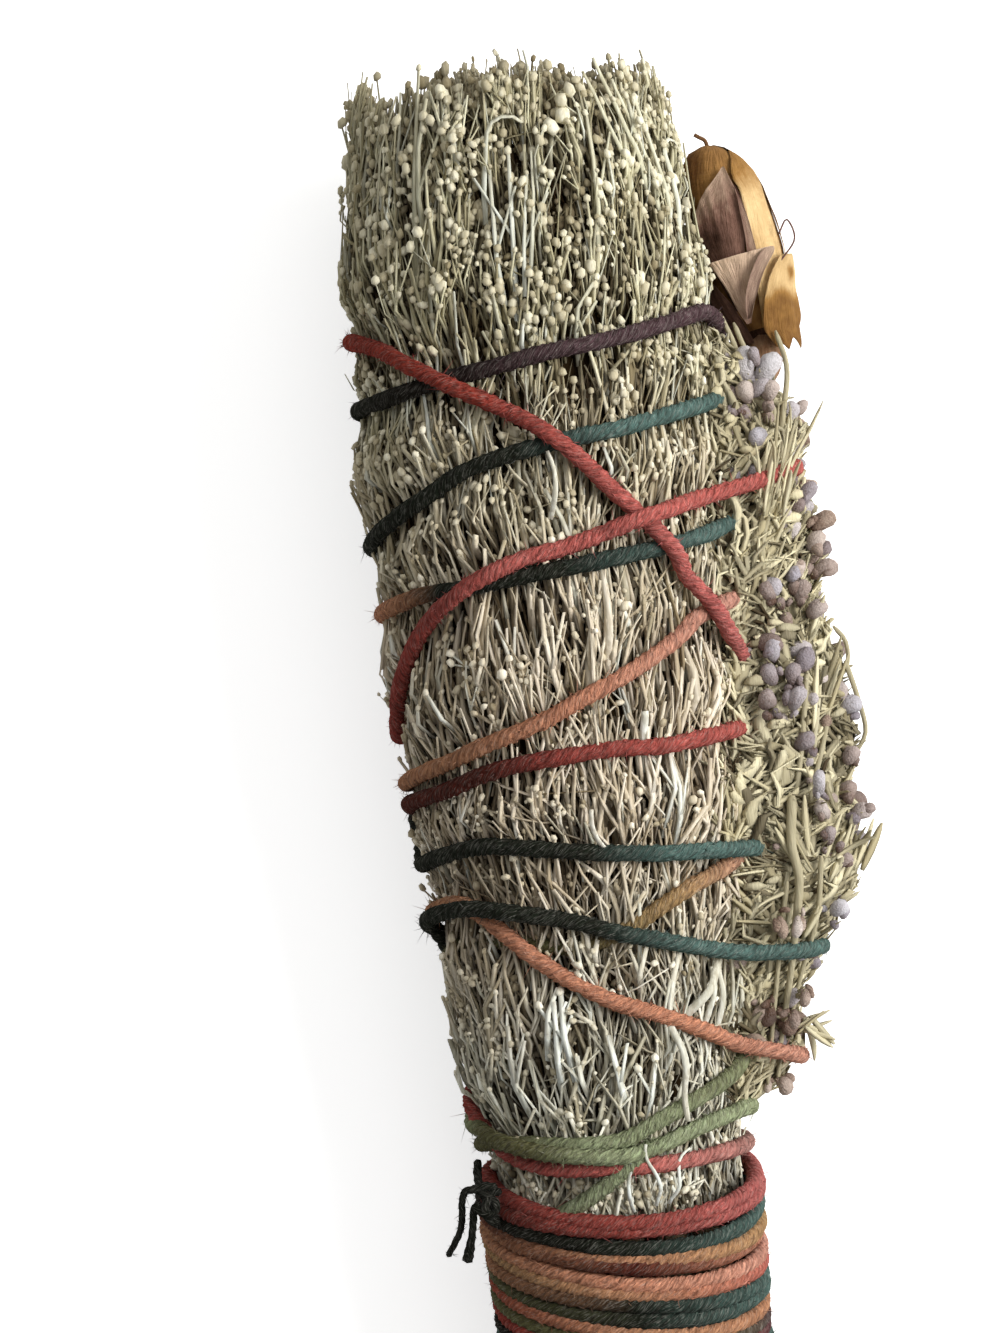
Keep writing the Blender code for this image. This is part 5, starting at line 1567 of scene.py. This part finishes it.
# The outside of the herbs, as its distance from the bunch's middle along the stick, and the share of that
# which they reach at each turn.
HERB_OUTSIDE = (
    (60, 17.5), (64, 20.5), (68, 24.4), (72, 25.4), (76, 26.4), (80, 28.4), (84, 30.6), (88, 33.4), (92, 36),
    (97, 37.2), (101, 37.6), (105, 36.4), (109, 37.4), (113, 38.2), (120, 37.2), (126, 36), (130, 34.8),
    (136, 35.2), (142, 35.2), (146, 34.4), (150, 33.4), (155, 35.2), (160, 32.6), (164, 30), (168, 25),
    (172, 22),
)
HERB_SHARES = ((54, 0), (64, 0.05), (72, 0.36), (81, 0.76), (90, 1), (100, 0.95), (110, 0.6), (126, 0))


def herb_out(turn, along):
    """Distance of the herbs' surface from the bunch's middle."""
    sage = profile(TIED_RADIUS, along) + 0.6
    share = profile(HERB_SHARES, np.mod(turn, 360.0))
    lumps = np.sin(along * 0.83 + turn * 0.21) * np.sin(along * 0.37 - turn * 0.29 + 1.0)
    lumps = lumps + 0.6 * np.sin(along * 1.9 - turn * 0.11) * np.sin(along * 0.9 + turn * 0.47)
    return sage + (profile(HERB_OUTSIDE, along) - sage) * share + 0.75 * lumps * np.sqrt(share)


@functools.lru_cache
def herb_shapes():
    """The unit shapes of the herbs: blunt and bent leaves, leafy twigs and husks."""
    leaf = limb(4, width=1.0, flat=0.42)
    leaf[0][leaf[0][:, 3] > 0.95, :2] *= 0.5
    leaf[0][leaf[0][:, 3] < 0.05, :2] *= 0.6
    twig = joined_shape(
        limb(3, width=0.7), limb(1, 0.15, 0.6, 0.2, 0.8, 0.5), limb(1, 0.35, 0.8, -0.2, 0.8, 0.5),
        limb(1, 0.6, 0.98, 0.14, 0.7, 0.5),
    )
    husk = joined_shape(limb(1, 0.2, 1.0, 0.0, 0.5), bud(length=1.2, seed=11))
    return {"leaf": leaf, "twig": twig, "husk": husk}


def herb_mass(rng, low, high, density):
    """The dense dry leaves between two distances along the stick: a dark body of painted shade under the
    leaves, and the leaves that cover it.
    """
    rings = []
    for along in np.linspace(low, high, int((high - low) / 1.6)):
        turns = np.linspace(58, 124, 16)
        outer = place(turns, along, herb_out(turns, along) - 1.7)
        inner = place(turns[::-4], along, profile(TIED_RADIUS, along) - 3.0)
        rings.append(np.vstack((outer, inner)))
    # A dark body in the needles' shaded colour: painted shade where the leaves leave gaps.
    parts = [toned(grow(rings), (0.5, 0.0, 0.5, 0.9))]
    count = int((high - low) * 30 * density)
    draw = rng.random(count)
    turn = 62 + 58 * rng.random(count)
    along = low - 1 + (high - low) * rng.random(count)
    deep = rng.random(count) < 0.4
    tufts = noise_at(turn * 0.1, along * 0.16, 33.0)
    copies = dict(
        turn=turn,
        along=along,
        length=rng.uniform(3.0, 7.5, count) + 5 * rng.random(count) ** 4 - 1.5 * (turn > 86),
        heading=np.radians(60 * tufts - 8 * (turn > 86) + rng.normal(0, 22, count)),
        bend=np.radians(rng.normal(0, 24, count)),
        hook=np.radians(rng.normal(0, 65, count)),
        wave=np.radians(rng.gamma(2.0, 5.0, count)),
        pace=rng.uniform(4, 9, count),
        phase=rng.uniform(0, 2 * math.pi, count),
        start=rng.uniform(1.0, 2.4, count),
        run=np.where(deep, rng.uniform(0.6, 1.6, count), rng.normal(-0.1, 0.4, count)),
        rise=rng.uniform(0.2, 0.7, count),
        lift=np.clip(rng.normal(0.3, 0.7, count), -0.8, 1.2),
        stalk=rng.uniform(0.28, 0.56, count) + 0.3 * rng.random(count) ** 4,
        bud=rng.uniform(0.45, 0.85, count),
        roll=rng.uniform(-1.2, 1.2, count),
        light=np.clip(rng.normal(0.66, 0.28, count) + 0.6 * tufts, 0, 1),
        grey=rng.random(count) ** 1.5,
    )
    low_draw = 0.0
    for kind, share, scale in (("leaf", 0.66, 1.0), ("twig", 0.28, 1.0), ("husk", 0.06, 0.4)):
        chosen = (draw >= low_draw) & (draw < low_draw + share)
        low_draw += share
        some = {key: values[chosen] for key, values in copies.items()}
        some["length"] = some["length"] * scale
        corners, triangles, tones = strew(herb_shapes()[kind], some, herb_out)
        parts.append((corners, triangles, tones, corners / MM))
    return parts


def needle_material(settings):
    """Dry pale needles and stems, with painted shade deep in the sprig and towards the needles' feet."""
    nodes = Nodes("dry_needles", 0.75, 0.2)
    tip, light, dull, shade = nodes.tone()
    streaks = nodes.noise(nodes.own_place(2.4, 0.25, 1), 1.8)
    colour = nodes.mix(dull, settings.needle_colour, settings.needle_grey)
    colour = nodes.mix(nodes.times(streaks, 0.4), colour, settings.needle_grey)
    # Painted shade: darker towards the needles' feet, where their light tone is low, and deep in the sprig.
    dark, foot = nodes.less(light), nodes.times(nodes.less(tip), 0.45)
    dark = nodes.maths("ADD", nodes.times(dark, 0.75), nodes.times(foot, dark))
    colour = nodes.mix(nodes.maths("MAXIMUM", dark, shade), colour, settings.needle_shade)
    return nodes.finish(colour, streaks, 0.5, 0.00012)


def lavender_material(settings):
    """Dry papery buds, from beige and pink to lilac grey, browner at the foot, and dark brown where their
    light tone is low, which is partly painted shade.
    """
    nodes = Nodes("dry_lavender", 0.85, 0.15)
    tip, light, lilac, shade = nodes.tone()
    places = nodes.places()
    mottle, fine = nodes.noise(places, 0.9, 4.0), nodes.noise(places, 4.0, 3.0)
    colour = nodes.mix(lilac, settings.bud_pink, settings.bud_lilac)
    colour = nodes.mix(nodes.times(nodes.maths("POWER", light, 3.0), 0.55), colour, (0.8, 0.78, 0.76))
    foot = nodes.maths("POWER", nodes.less(tip), 2.0)
    dark = nodes.maths("ADD", nodes.times(nodes.less(light), 0.75), nodes.times(foot, 0.35))
    dark = nodes.maths("ADD", dark, nodes.times(nodes.times(mottle, fine), 0.35))
    # The darkest bud colour serves both the buds' own brown and painted shade on the buds tucked under
    # others.
    colour = nodes.mix(nodes.maths("MAXIMUM", dark, shade), colour, settings.bud_brown_and_shade)
    return nodes.finish(colour, nodes.maths("ADD", mottle, fine), 0.6, 0.0002)


def grow_needle_sprig(end, points, lowest, span, needles, stems, seed, settings, material):
    """A needle sprig: its stem, the whorls of needles round it and those that stand out."""
    rng = np.random.default_rng(seed)
    line = sprig_line(points)
    parts = [tube(*line, (0.3, 0.4, 0.6, 0.4)), *herb_mass(rng, *span, settings.fullness)]
    roots, way, away, length, width = whorls(
        rng, line, settings.needles_in_whorl, 2.2, (3.0, 6.0), (0.6, 1.2), (14.0, 66.0), lowest
    )
    count = len(length)
    inner = rng.random(count)
    sizes = stacked(length, width, 0.32, rng.normal(-0.1, 1.2, count))
    # Painted light and shade: needles that point upwards are lighter, and about three in ten get painted
    # shade.
    light = np.clip(0.6 + 0.25 * away[:, 2] + rng.normal(0, 0.26, count), 0.0, 1)
    marks = stacked(light, rng.random(count), 0.5 * (inner < 0.3))
    parts.append(lay(blade_shape(), roots, way, away, sizes, marks))
    parts += [loose_needles(rng, needles), *bare_stems(stems)]
    parts = [(*part, 0) for part in parts]
    make_piece(f"needle_leaves_{end}", parts, [material], [f"needle_sprig_{end}"])


def grow_lavender_sprig(end, points, lowest, span, buds, seed, settings, materials):
    """A lavender sprig: its stem, the whorls of buds round it and those that stand out."""
    rng = np.random.default_rng(seed)
    line = sprig_line(points)
    roots, way, away, length, width = whorls(
        rng, line, settings.buds_in_whorl, 2.9, (2.6, 3.8), (1.9, 2.9), (30.0, 75.0), lowest
    )
    count = len(length)
    roots = roots + away * rng.uniform(0.5, 3.0, (count, 1)) * MM
    sizes = stacked(np.maximum(length, 2.2), width, width * 0.9, rng.normal(0, 0.3, count))
    marks = stacked(rng.uniform(0.25, 0.8, count), rng.random(count), 0.0)
    round_stem = lay(herb_bud_shape(), roots, way, away, sizes, marks, pointed=False)
    standing, stalks = loose_buds(rng, buds, line)
    count = int(span[1] - span[0]) * 2
    turn, along = rng.uniform(68, 112, count), rng.uniform(*span, count)
    clustered = noise_at(turn * 0.12, along * 0.12, 51.0) > -0.14
    turn, along = turn[clustered], along[clustered]
    count = len(turn)
    roots = place(turn, along, herb_out(turn, along) - rng.uniform(0.6, 1.8, count))
    away = roots - place(turn, along, 0.0)
    way = unit(away) * 0.6 + rng.normal(0, 0.6, (count, 3))
    width = rng.uniform(1.3, 3.4, count)
    sizes = stacked(width * rng.uniform(1.0, 1.4, count), width, width * 0.9, rng.normal(0, 0.3, count))
    marks = stacked(rng.uniform(0.15, 0.9, count), rng.random(count), 0.0)
    scattered = lay(herb_bud_shape(), roots, way, away, sizes, marks, pointed=False)
    roots, way, away, length, width = whorls(rng, line, 5, 2.4, (3.0, 6.0), (0.6, 1.3), (12.0, 70.0), lowest)
    count = len(length)
    sizes = stacked(length, width, 0.3, rng.normal(0, 1.2, count))
    marks = stacked(rng.uniform(0.0, 0.75, count), rng.random(count), rng.uniform(0.0, 0.6, count))
    leaves = lay(blade_shape(), roots, way, away, sizes, marks)
    parts = [(*part, 0) for part in (round_stem, standing, scattered)]
    parts += [(*part, 1) for part in (tube(*line, (0.3, 0.6, 0.6, 0.2)), stalks, leaves)]
    make_piece(f"lavender_buds_{end}", parts, materials, [f"lavender_sprig_{end}"])


def grow_herbs(settings):
    """The two needle sprigs and the two lavender sprigs."""
    dry, buds = needle_material(settings), lavender_material(settings)
    for end, *sprig in (
        ("upper", NEEDLE_SPRIG_UPPER, 100.0, (99.0, 168.0), LOOSE_NEEDLES_UPPER, BARE_STEMS_UPPER, 61),
        ("lower", NEEDLE_SPRIG_LOWER, 86.0, (63.0, 100.0), LOOSE_NEEDLES_LOWER, BARE_STEMS_LOWER, 62),
    ):
        grow_needle_sprig(end, *sprig, settings, dry)
    for end, *sprig in (
        ("upper", LAVENDER_SPRIG_UPPER, 104.0, (100.0, 163.0), LOOSE_BUDS_UPPER, 63),
        ("lower", LAVENDER_SPRIG_LOWER, 84.0, (70.0, 100.0), LOOSE_BUDS_LOWER, 64),
    ):
        grow_lavender_sprig(end, *sprig, settings, [buds, dry])


# The rosebud. Heights are in millimetres from the top of its hip along its leaning axis, and angles go round
# it in degrees, 0 at the top and 90 away from the sage. Its radius is given on the far side and towards the
# sage.
ROSE_LEAN = -10.0
BUD_FAR_SIDE = (
    (-4, 2.3), (0, 2.3), (1.5, 3.2), (3.5, 4.3), (7, 5.4), (11, 5.8), (15, 5.75), (20, 5.4), (22.4, 4.9),
    (24.7, 3.9), (26.2, 2.6), (27.2, 1), (27.5, 0.1),
)
BUD_NEAR_SIDE = (
    (-4, 2.3), (0, 2.3), (1.5, 3), (3.5, 3.8), (7, 4.7), (11, 5.1), (15, 5.1), (20, 4.8), (23.5, 4.3),
    (26, 3.4), (27, 2.4), (27.4, 0.8), (27.6, 0.1),
)
# Petals from foot to tip, each place as (height, left angle, right angle, stand-off, light at the left,
# light at the right).
FURLED_PETAL = (
    (1, -190, 40, 0.1, 0.2, 0.3), (6, -190, 42, 0.15, 0.25, 0.3), (12, -190, 42, 0.2, 0.25, 0.3),
    (17, -190, 42, 0.2, 0.2, 0.35), (21, -190, 42, 0.2, 0.25, 0.4), (24, -190, 48, 0.15, 0.25, 0.4),
    (26, -190, 62, 0.1, 0.25, 0.38), (27, -190, 80, 0.1, 0.25, 0.35), (27.5, -190, 90, 0.1, 0.25, 0.3),
)
GOLDEN_PETAL = (
    (1, 10, 150, 0.3, 0.6, 0.6), (5, 10, 152, 0.5, 0.8, 0.7), (10, 13, 152, 0.6, 0.92, 0.8),
    (14, 15, 152, 0.6, 0.97, 0.85), (17.5, 20, 150, 0.6, 0.9, 0.8), (20, 22, 148, 0.6, 0.66, 0.75),
    (22, 19, 146, 0.6, 0.46, 0.6), (24.5, 34, 140, 0.45, 0.38, 0.45), (26.3, 58, 130, 0.3, 0.34, 0.38),
    (27.3, 80, 112, 0.2, 0.3, 0.3),
)
RIM_PETAL = (
    (1, 66, 95, 0.7, 0.8, 0.8), (5, 68, 95, 0.9, 0.9, 0.9), (11, 70, 94, 0.95, 0.95, 0.95),
    (16, 73, 94, 0.95, 0.9, 0.95), (19.4, 80, 94, 0.85, 0.5, 0.8), (21.4, 86, 92, 0.7, 0.2, 0.5),
)
MAUVE_PETAL = (
    (4, -30, -4, 0.5, 0.1, 0.2), (9.5, -40, 2, 0.7, 0.12, 0.35), (12, -46, 8, 0.85, 0.14, 0.42),
    (14.5, -51, 14, 0.9, 0.3, 0.46), (17, -50, 17, 0.95, 0.6, 0.45), (19, -40, 17, 0.95, 0.7, 0.5),
    (21, -20, 15, 1, 0.76, 0.6), (22.4, -2, 13, 1.05, 0.8, 0.7), (23.4, 9, 12, 1.1, 0.8, 0.8),
)
FOLDED_STRIP = (
    (10, 6, 20, 0.9, 0.45, 0.75), (13, 10, 20, 1.1, 0.5, 0.75), (17, 13, 20, 1.1, 0.45, 0.6),
    (19.4, 15, 19, 1.05, 0.3, 0.4), (20.6, 16, 18, 0.9, 0.2, 0.3),
)
FOLDED_PETAL = (
    (1.8, -16, -10, 2.6, 0.5, 0.5), (4, -22, -1, 2.3, 0.6, 0.66), (7, -27, 12, 1.8, 0.75, 0.74),
    (9.6, -33, 26, 1.8, 0.9, 0.86), (11.1, -36, 33, 2.3, 0.97, 0.95),
)
FOLDED_FLAP = (
    (2.4, -13, -9, 2.9, 0.5, 0.5), (5.2, -8, 4, 2.8, 0.6, 0.66), (8, 3, 17, 2.6, 0.66, 0.76),
    (10.4, 17, 33, 2.4, 0.62, 0.86), (11, 25, 33, 2.3, 0.7, 0.9),
)
AMBER_PETAL = (
    (-2.2, 14, 76, 3.1, 0.22, 0.2), (0.6, 4, 80, 3.2, 0.24, 0.26), (3.4, 10, 82, 2.2, 0.3, 0.4),
    (5.4, 18, 82, 1.7, 0.8, 0.97), (7.6, 28, 84, 1.6, 0.8, 1), (9.8, 46, 88, 1.7, 0.75, 0.9),
)
LEFT_SEPAL = (
    (-0.6, -80, -20, 0.6, 0.3, 0.3), (3, -88, -26, 0.7, 0.32, 0.34), (6.6, -82, -36, 0.9, 0.3, 0.36),
    (9.4, -66, -48, 1.2, 0.25, 0.3), (10.4, -60, -56, 1.5, 0.2, 0.2),
)
LOW_SEPAL = (
    (-0.6, 120, 182, 0.6, 0.3, 0.3), (3, 116, 186, 0.7, 0.35, 0.3), (6.6, 126, 178, 0.9, 0.35, 0.3),
    (9.4, 138, 164, 1.2, 0.3, 0.3), (10.4, 148, 154, 1.5, 0.3, 0.3),
)


def bud_radius(height, angle):
    """The bud's radius at a height and an angle in degrees."""
    far = 0.5 + 0.5 * np.sin(np.radians(angle))
    return profile(BUD_NEAR_SIDE, height) * (1 - far) + profile(BUD_FAR_SIDE, height) * far


def rose_place(height, angle, radius):
    """Points in metres from their heights over the hip, angles and distances from the bud's axis."""
    along, beyond, up, _ = ROSE_STEM[-1]
    foot = aside_place(along, float(profile(TIED_RADIUS, along)) + beyond - 0.7, up)
    lean = math.radians(ROSE_LEAN)
    ahead = np.array((math.sin(lean), math.cos(lean), 0))
    right = np.array((math.cos(lean), -math.sin(lean), 0))
    angle = np.radians(angle)
    upwards = np.array((0, 0, 1.0))
    spot = np.multiply.outer(height, ahead) + np.multiply.outer(radius * np.sin(angle), right)
    return foot + (spot + np.multiply.outer(radius * np.cos(angle), upwards)) * MM


def petal(stations, gold, seed, lobes=0.0, curl=0.25, blotches=(), wrinkles=0.16):
    """A thin wrinkled petal round the bud, as a part of a piece.

    gold is 0 for a mauve petal and 1 for a golden one. lobes is how ragged its foot is. Each blotch is
    (height, angle, radius, change of light).
    """
    built = bmesh.new()
    bmesh.ops.create_grid(built, x_segments=26, y_segments=26, size=0.5)
    spots = np.array([tuple(vert.co) for vert in built.verts])
    across, rise = spots[:, 0] + 0.5, spots[:, 1] + 0.5
    rows = smooth_line([(row[0], row[1] / 12, row[2] / 12, *row[3:]) for row in stations], 0.4)
    where = rise * (len(rows) - 1)
    height, left, right, off, light_left, light_right = (
        np.interp(where, np.arange(len(rows)), column) for column in rows.T
    )
    angle = 12 * (left + (right - left) * across)
    height = height + lobes * noise_at(across * 4.2, 0.0, seed) * (1 - rise) ** 2
    edge = np.abs(2 * across - 1) ** 4
    folds = noise_at(angle / 16, height / 7, seed + 4.0)
    creases = noise_at(angle / 7, height / 9, seed + 8.0)
    off = off + curl * edge + wrinkles * folds * 1.6 + wrinkles * creases
    radius = bud_radius(height, angle) + off
    # Painted light and shade on the wrinkles: folds that stand out are lighter, those that sink in darker.
    light = light_left + (light_right - light_left) * across + 0.12 * folds
    for spot_height, spot_angle, size, change in blotches:
        aside = np.radians(angle - spot_angle) * radius
        near = np.exp(-((height - spot_height) ** 2 + aside**2) / size**2)
        light = light + change * near
    surface = rose_place(height, angle, radius) / MM
    for vert, point in zip(built.verts, surface):
        vert.co = point
    nearest = search_tree(surface)
    bmesh.ops.solidify(built, geom=built.faces[:], thickness=0.2)
    corners, triangles = as_arrays(built)
    origin = np.array([nearest.find(corner)[1] for corner in corners])
    tones = stacked(np.clip(light[origin], 0, 1), gold, edge[origin], 1.0)
    return corners * MM, triangles, tones, stacked(across[origin] * 9, height[origin], seed * 3.1), 0


def petal_material(settings):
    """Dry petals, mauve to gold and dark to pale, with fine veins along them."""
    nodes = Nodes("dry_petals", 0.85, 0.12)
    light, gold, _, _ = nodes.tone()
    veins = nodes.noise(nodes.own_place(3.6, 0.35, 1), 1.4, 4.0)
    mottle = nodes.noise(nodes.own_place(), 0.8, 4.0)
    light = nodes.maths("MULTIPLY_ADD", nodes.maths("SUBTRACT", veins, 0.5), 0.09, light)
    light = nodes.maths("ADD", light, nodes.times(nodes.maths("SUBTRACT", mottle, 0.5), 0.12))
    low, high = nodes.spread(light, 0.0, 0.45), nodes.spread(light, 0.45, 1.0)
    ramps = []
    for kind in ("mauve", "gold"):
        dark, middle, pale = (getattr(settings, f"{kind}_{level}") for level in ("dark", "middle", "pale"))
        ramps.append(nodes.mix(high, nodes.mix(low, dark, middle), pale))
    return nodes.finish(nodes.mix(gold, *ramps), nodes.maths("ADD", veins, mottle), 0.6, 0.0002)


def grow_rose(settings):
    """The rosebud: stem and hip, furled petals, three outer petals, a folded one and two sepals."""
    materials = [petal_material(settings)]
    angles = np.arange(0, 360, 15.0)
    rings = []
    for height in np.linspace(-0.5, 27.2, 30):
        radius = np.maximum(bud_radius(height, angles) - 0.5, 0.05)
        rings.append(rose_place(np.full(len(angles), height), angles, radius))
    stub = smooth_line([(27.0, 0.3, 0.2), (28.2, 0.2, 0.2), (28.9, -0.5, 0.2), (29.4, -1.0, 0.3)], 0.3)
    stub = rose_place(stub[:, 0], np.full(len(stub), 90.0), stub[:, 1])
    hair = smooth_line([(34.5, 181.6, 2), (35.8, 183.5, 2), (36.6, 180.7, 2), (34.2, 177.7, 2)], 0.4)
    hair = aside_place(hair[:, 1], hair[:, 0], hair[:, 2])
    groups = {
        ("furled", "petal", "furled_petals"): (
            (*toned(grow(rings), (0.05, 0.2, 0.0, 1.0)), 0),
            petal(FURLED_PETAL, 0.9, 1, curl=0.0, blotches=((24.6, -52, 2.2, -0.3), (18, -70, 5, -0.15))),
            petal(RIM_PETAL, 0.35, 2, curl=0.0),
            (*tube(stub, 0.28, (0.2, 0.6, 0.0, 1.0)), 0),
        ),
        ("golden", "petal", "petal_golden"): (
            petal(GOLDEN_PETAL, 1.0, 3, blotches=((13, 17, 1.6, -0.25),)),
        ),
        ("mauve", "petal", "petal_mauve"): (
            petal(MAUVE_PETAL, 0.12, 4, curl=0.15, wrinkles=0.22, blotches=((14.5, -30, 2.2, -0.3),)),
            petal(FOLDED_STRIP, 0.1, 5, curl=0.2),
        ),
        ("amber", "petal", "petal_amber"): (
            petal(
                AMBER_PETAL, 1.0, 6, lobes=1.5, curl=0.2,
                blotches=((7.2, 66, 1.0, -0.7), (4.6, 40, 1.4, -0.4)),
            ),
            (*tube(hair, 0.14, (0.45, 0.0, 0.0, 1.0), 5), 0),
        ),
        ("folded", "green", "sepal_1"): (
            petal(FOLDED_PETAL, 0.12, 7, curl=0.1, wrinkles=0.22),
            petal(FOLDED_FLAP, 0.05, 8, curl=0.3, wrinkles=0.2),
        ),
        ("sepal_left", "green", "sepal_3"): (petal(LEFT_SEPAL, 0.1, 9, curl=0.4),),
        ("sepal_low", "green", "sepal_2"): (petal(LOW_SEPAL, 0.1, 10, curl=0.4),),
        ("stem_with_hip", "green", "stem_and_hip"): (
            (*tube(*sprig_line(ROSE_STEM), (0.5, 0.4, 0.0, 1.0), 12), 0),
        ),
    }
    for (name, finish, node), parts in groups.items():
        make_piece(f"rose_{name}", parts, materials, [f"rose_{node}"])


# Each lamp's place, size and share of the main lamp's power, in metres, and what they are aimed at.
LAMPS = {"key": ((0.52, 0.1, 0.46), 0.4, 1.0), "top": ((0.1, 0.4, 0.7), 0.5, 0.22)}
LAMP_TARGET = (0, 0.02, 0.02)
# The camera's angle of view from top to bottom in degrees, what it looks at in millimetres to the side,
# along the stick and above the floor, and which way is up for it.
VIEW_ANGLE = 22.9
VIEW_TARGET = (-9.3, 126.7, 24.0)
VIEW_UP = (0.101, 0.995, 0.0)
# How brightly the floor shows to the camera and in reflections over what the lamps give it.
FLOOR_GLOW = 0.62


def set_stage(settings):
    """The floor, the light and the camera."""
    scene = bpy.context.scene
    scene.view_settings.view_transform = "Standard"
    built = bmesh.new()
    bmesh.ops.create_grid(built, x_segments=1, y_segments=1, size=3.0)
    mesh = bpy.data.meshes.new("floor")
    built.to_mesh(mesh)
    built.free()
    nodes = Nodes("floor", 0.9, 0.0)
    paper = nodes.noise(nodes.places(), 0.02, 2.0)
    white = nodes.mix(nodes.times(paper, 0.02), settings.floor_colour, (0.9, 0.9, 0.9))
    mesh.materials.append(nodes.finish(white))
    rays = nodes.add("LightPath").outputs
    seen = nodes.maths("ADD", rays["Is Camera Ray"], rays["Is Glossy Ray"])
    nodes.give(nodes.shader.inputs["Emission Color"], (1, 1, 1))
    nodes.give(nodes.shader.inputs["Emission Strength"], nodes.times(seen, FLOOR_GLOW))
    link_object("floor", mesh)
    world = bpy.data.worlds.new("studio")
    scene.world = world
    world.use_nodes = True
    studio = Nodes.__new__(Nodes)
    studio.tree = world.node_tree
    background = studio.tree.nodes["Background"].inputs
    studio.give(background["Color"], (1, 1, 1))
    rays = studio.add("LightPath").outputs
    most = studio.maths("MAXIMUM", rays["Is Camera Ray"], rays["Is Glossy Ray"])
    studio.give(background["Strength"], studio.spread(most, 0.0, 1.0, settings.fill_level, 1.0))
    for name, (spot, size, share) in LAMPS.items():
        data = bpy.data.lights.new(name, "AREA")
        data.shape = "SQUARE"
        data.size = size
        data.energy = settings.key_power * share
        lamp = link_object(name, data)
        lamp.location = spot
        lamp.rotation_euler = (Vector(LAMP_TARGET) - lamp.location).to_track_quat("-Z", "Y").to_euler()
    data = bpy.data.cameras.new("camera")
    data.sensor_fit = "VERTICAL"
    data.angle = math.radians(VIEW_ANGLE)
    aside, along, height = VIEW_TARGET
    back, up = Vector((0, 0, 1)), Vector(VIEW_UP).normalized()
    turned = Matrix((up.cross(back), up, back)).transposed().to_4x4()
    aim = Vector((AXIS_X + aside, BASE_Y + along, height)) * MM
    turned.translation = aim + back * settings.view_distance
    camera = link_object("camera", data)
    camera.matrix_world = turned
    scene.camera = camera


class SMUDGE_OT_sage(bpy.types.Operator):
    """Grow the nineteen dried sage sprigs"""

    bl_idname = "smudge.sage"
    bl_label = "Sage Sprigs"

    def execute(self, context):
        grow_sage(context.scene.smudge_sage)
        return {"FINISHED"}


class SMUDGE_OT_criss_cross(bpy.types.Operator):
    """Bind the sage with the yarn that crosses over it"""

    bl_idname = "smudge.criss_cross"
    bl_label = "Criss-Cross Yarn"

    def execute(self, context):
        bind_criss_cross(context.scene.smudge_yarn)
        return {"FINISHED"}


class SMUDGE_OT_winding(bpy.types.Operator):
    """Wind the yarn closely round the handle"""

    bl_idname = "smudge.winding"
    bl_label = "Handle Winding"

    def execute(self, context):
        wind_handle(context.scene.smudge_yarn)
        return {"FINISHED"}


class SMUDGE_OT_knot(bpy.types.Operator):
    """Tie the knot on the side of the winding"""

    bl_idname = "smudge.knot"
    bl_label = "Knot"

    def execute(self, context):
        tie_knot(context.scene.smudge_yarn)
        return {"FINISHED"}


class SMUDGE_OT_herbs(bpy.types.Operator):
    """Grow the needle and lavender sprigs on the flower side"""

    bl_idname = "smudge.herbs"
    bl_label = "Herb Sprigs"

    def execute(self, context):
        grow_herbs(context.scene.smudge_herbs)
        return {"FINISHED"}


class SMUDGE_OT_rose(bpy.types.Operator):
    """Grow the rosebud with its petals, sepals, hip and stem"""

    bl_idname = "smudge.rose"
    bl_label = "Rosebud"

    def execute(self, context):
        grow_rose(context.scene.smudge_rose)
        return {"FINISHED"}


class SMUDGE_OT_stage(bpy.types.Operator):
    """Set the floor, the light and the camera"""

    bl_idname = "smudge.stage"
    bl_label = "Stage"

    def execute(self, context):
        set_stage(context.scene.smudge_stage)
        return {"FINISHED"}


class SMUDGE_PT_panel(bpy.types.Panel):
    """Lists the pieces of the smudge stick"""

    bl_idname = "SMUDGE_PT_panel"
    bl_label = "Smudge Stick"
    bl_space_type = "VIEW_3D"
    bl_region_type = "UI"
    bl_category = "Smudge Stick"

    def draw(self, context):
        for title, settings, group, operators in SECTIONS:
            box = self.layout.box()
            box.label(text=title)
            for name in group.__annotations__:
                box.prop(getattr(context.scene, settings), name)
            for operator in operators:
                box.operator(operator.bl_idname)


# Each heading of the panel, with the name and class of its settings and the operators that use them, in the
# order in which they run.
SECTIONS = (
    ("Stage", "smudge_stage", StageSettings, (SMUDGE_OT_stage,)),
    ("Sage", "smudge_sage", SageSettings, (SMUDGE_OT_sage,)),
    ("Yarn", "smudge_yarn", YarnSettings, (SMUDGE_OT_criss_cross, SMUDGE_OT_winding, SMUDGE_OT_knot)),
    ("Herbs", "smudge_herbs", HerbSettings, (SMUDGE_OT_herbs,)),
    ("Rosebud", "smudge_rose", RoseSettings, (SMUDGE_OT_rose,)),
)
CLASSES = [*(operator for *_, operators in SECTIONS for operator in operators), SMUDGE_PT_panel]


def register():
    """Registers the settings, operators and panel."""
    for _, name, group, _ in SECTIONS:
        bpy.utils.register_class(group)
        setattr(bpy.types.Scene, name, PointerProperty(type=group))
    for item in CLASSES:
        bpy.utils.register_class(item)


def unregister():
    """Removes what register added."""
    for item in reversed(CLASSES):
        bpy.utils.unregister_class(item)
    for _, name, group, _ in SECTIONS:
        delattr(bpy.types.Scene, name)
        bpy.utils.unregister_class(group)


def main():
    """Builds every piece and the stage."""
    register()
    bpy.ops.smudge.stage()
    bpy.ops.smudge.sage()
    bpy.ops.smudge.criss_cross()
    bpy.ops.smudge.winding()
    bpy.ops.smudge.knot()
    bpy.ops.smudge.herbs()
    bpy.ops.smudge.rose()


if __name__ == "__main__":
    main()
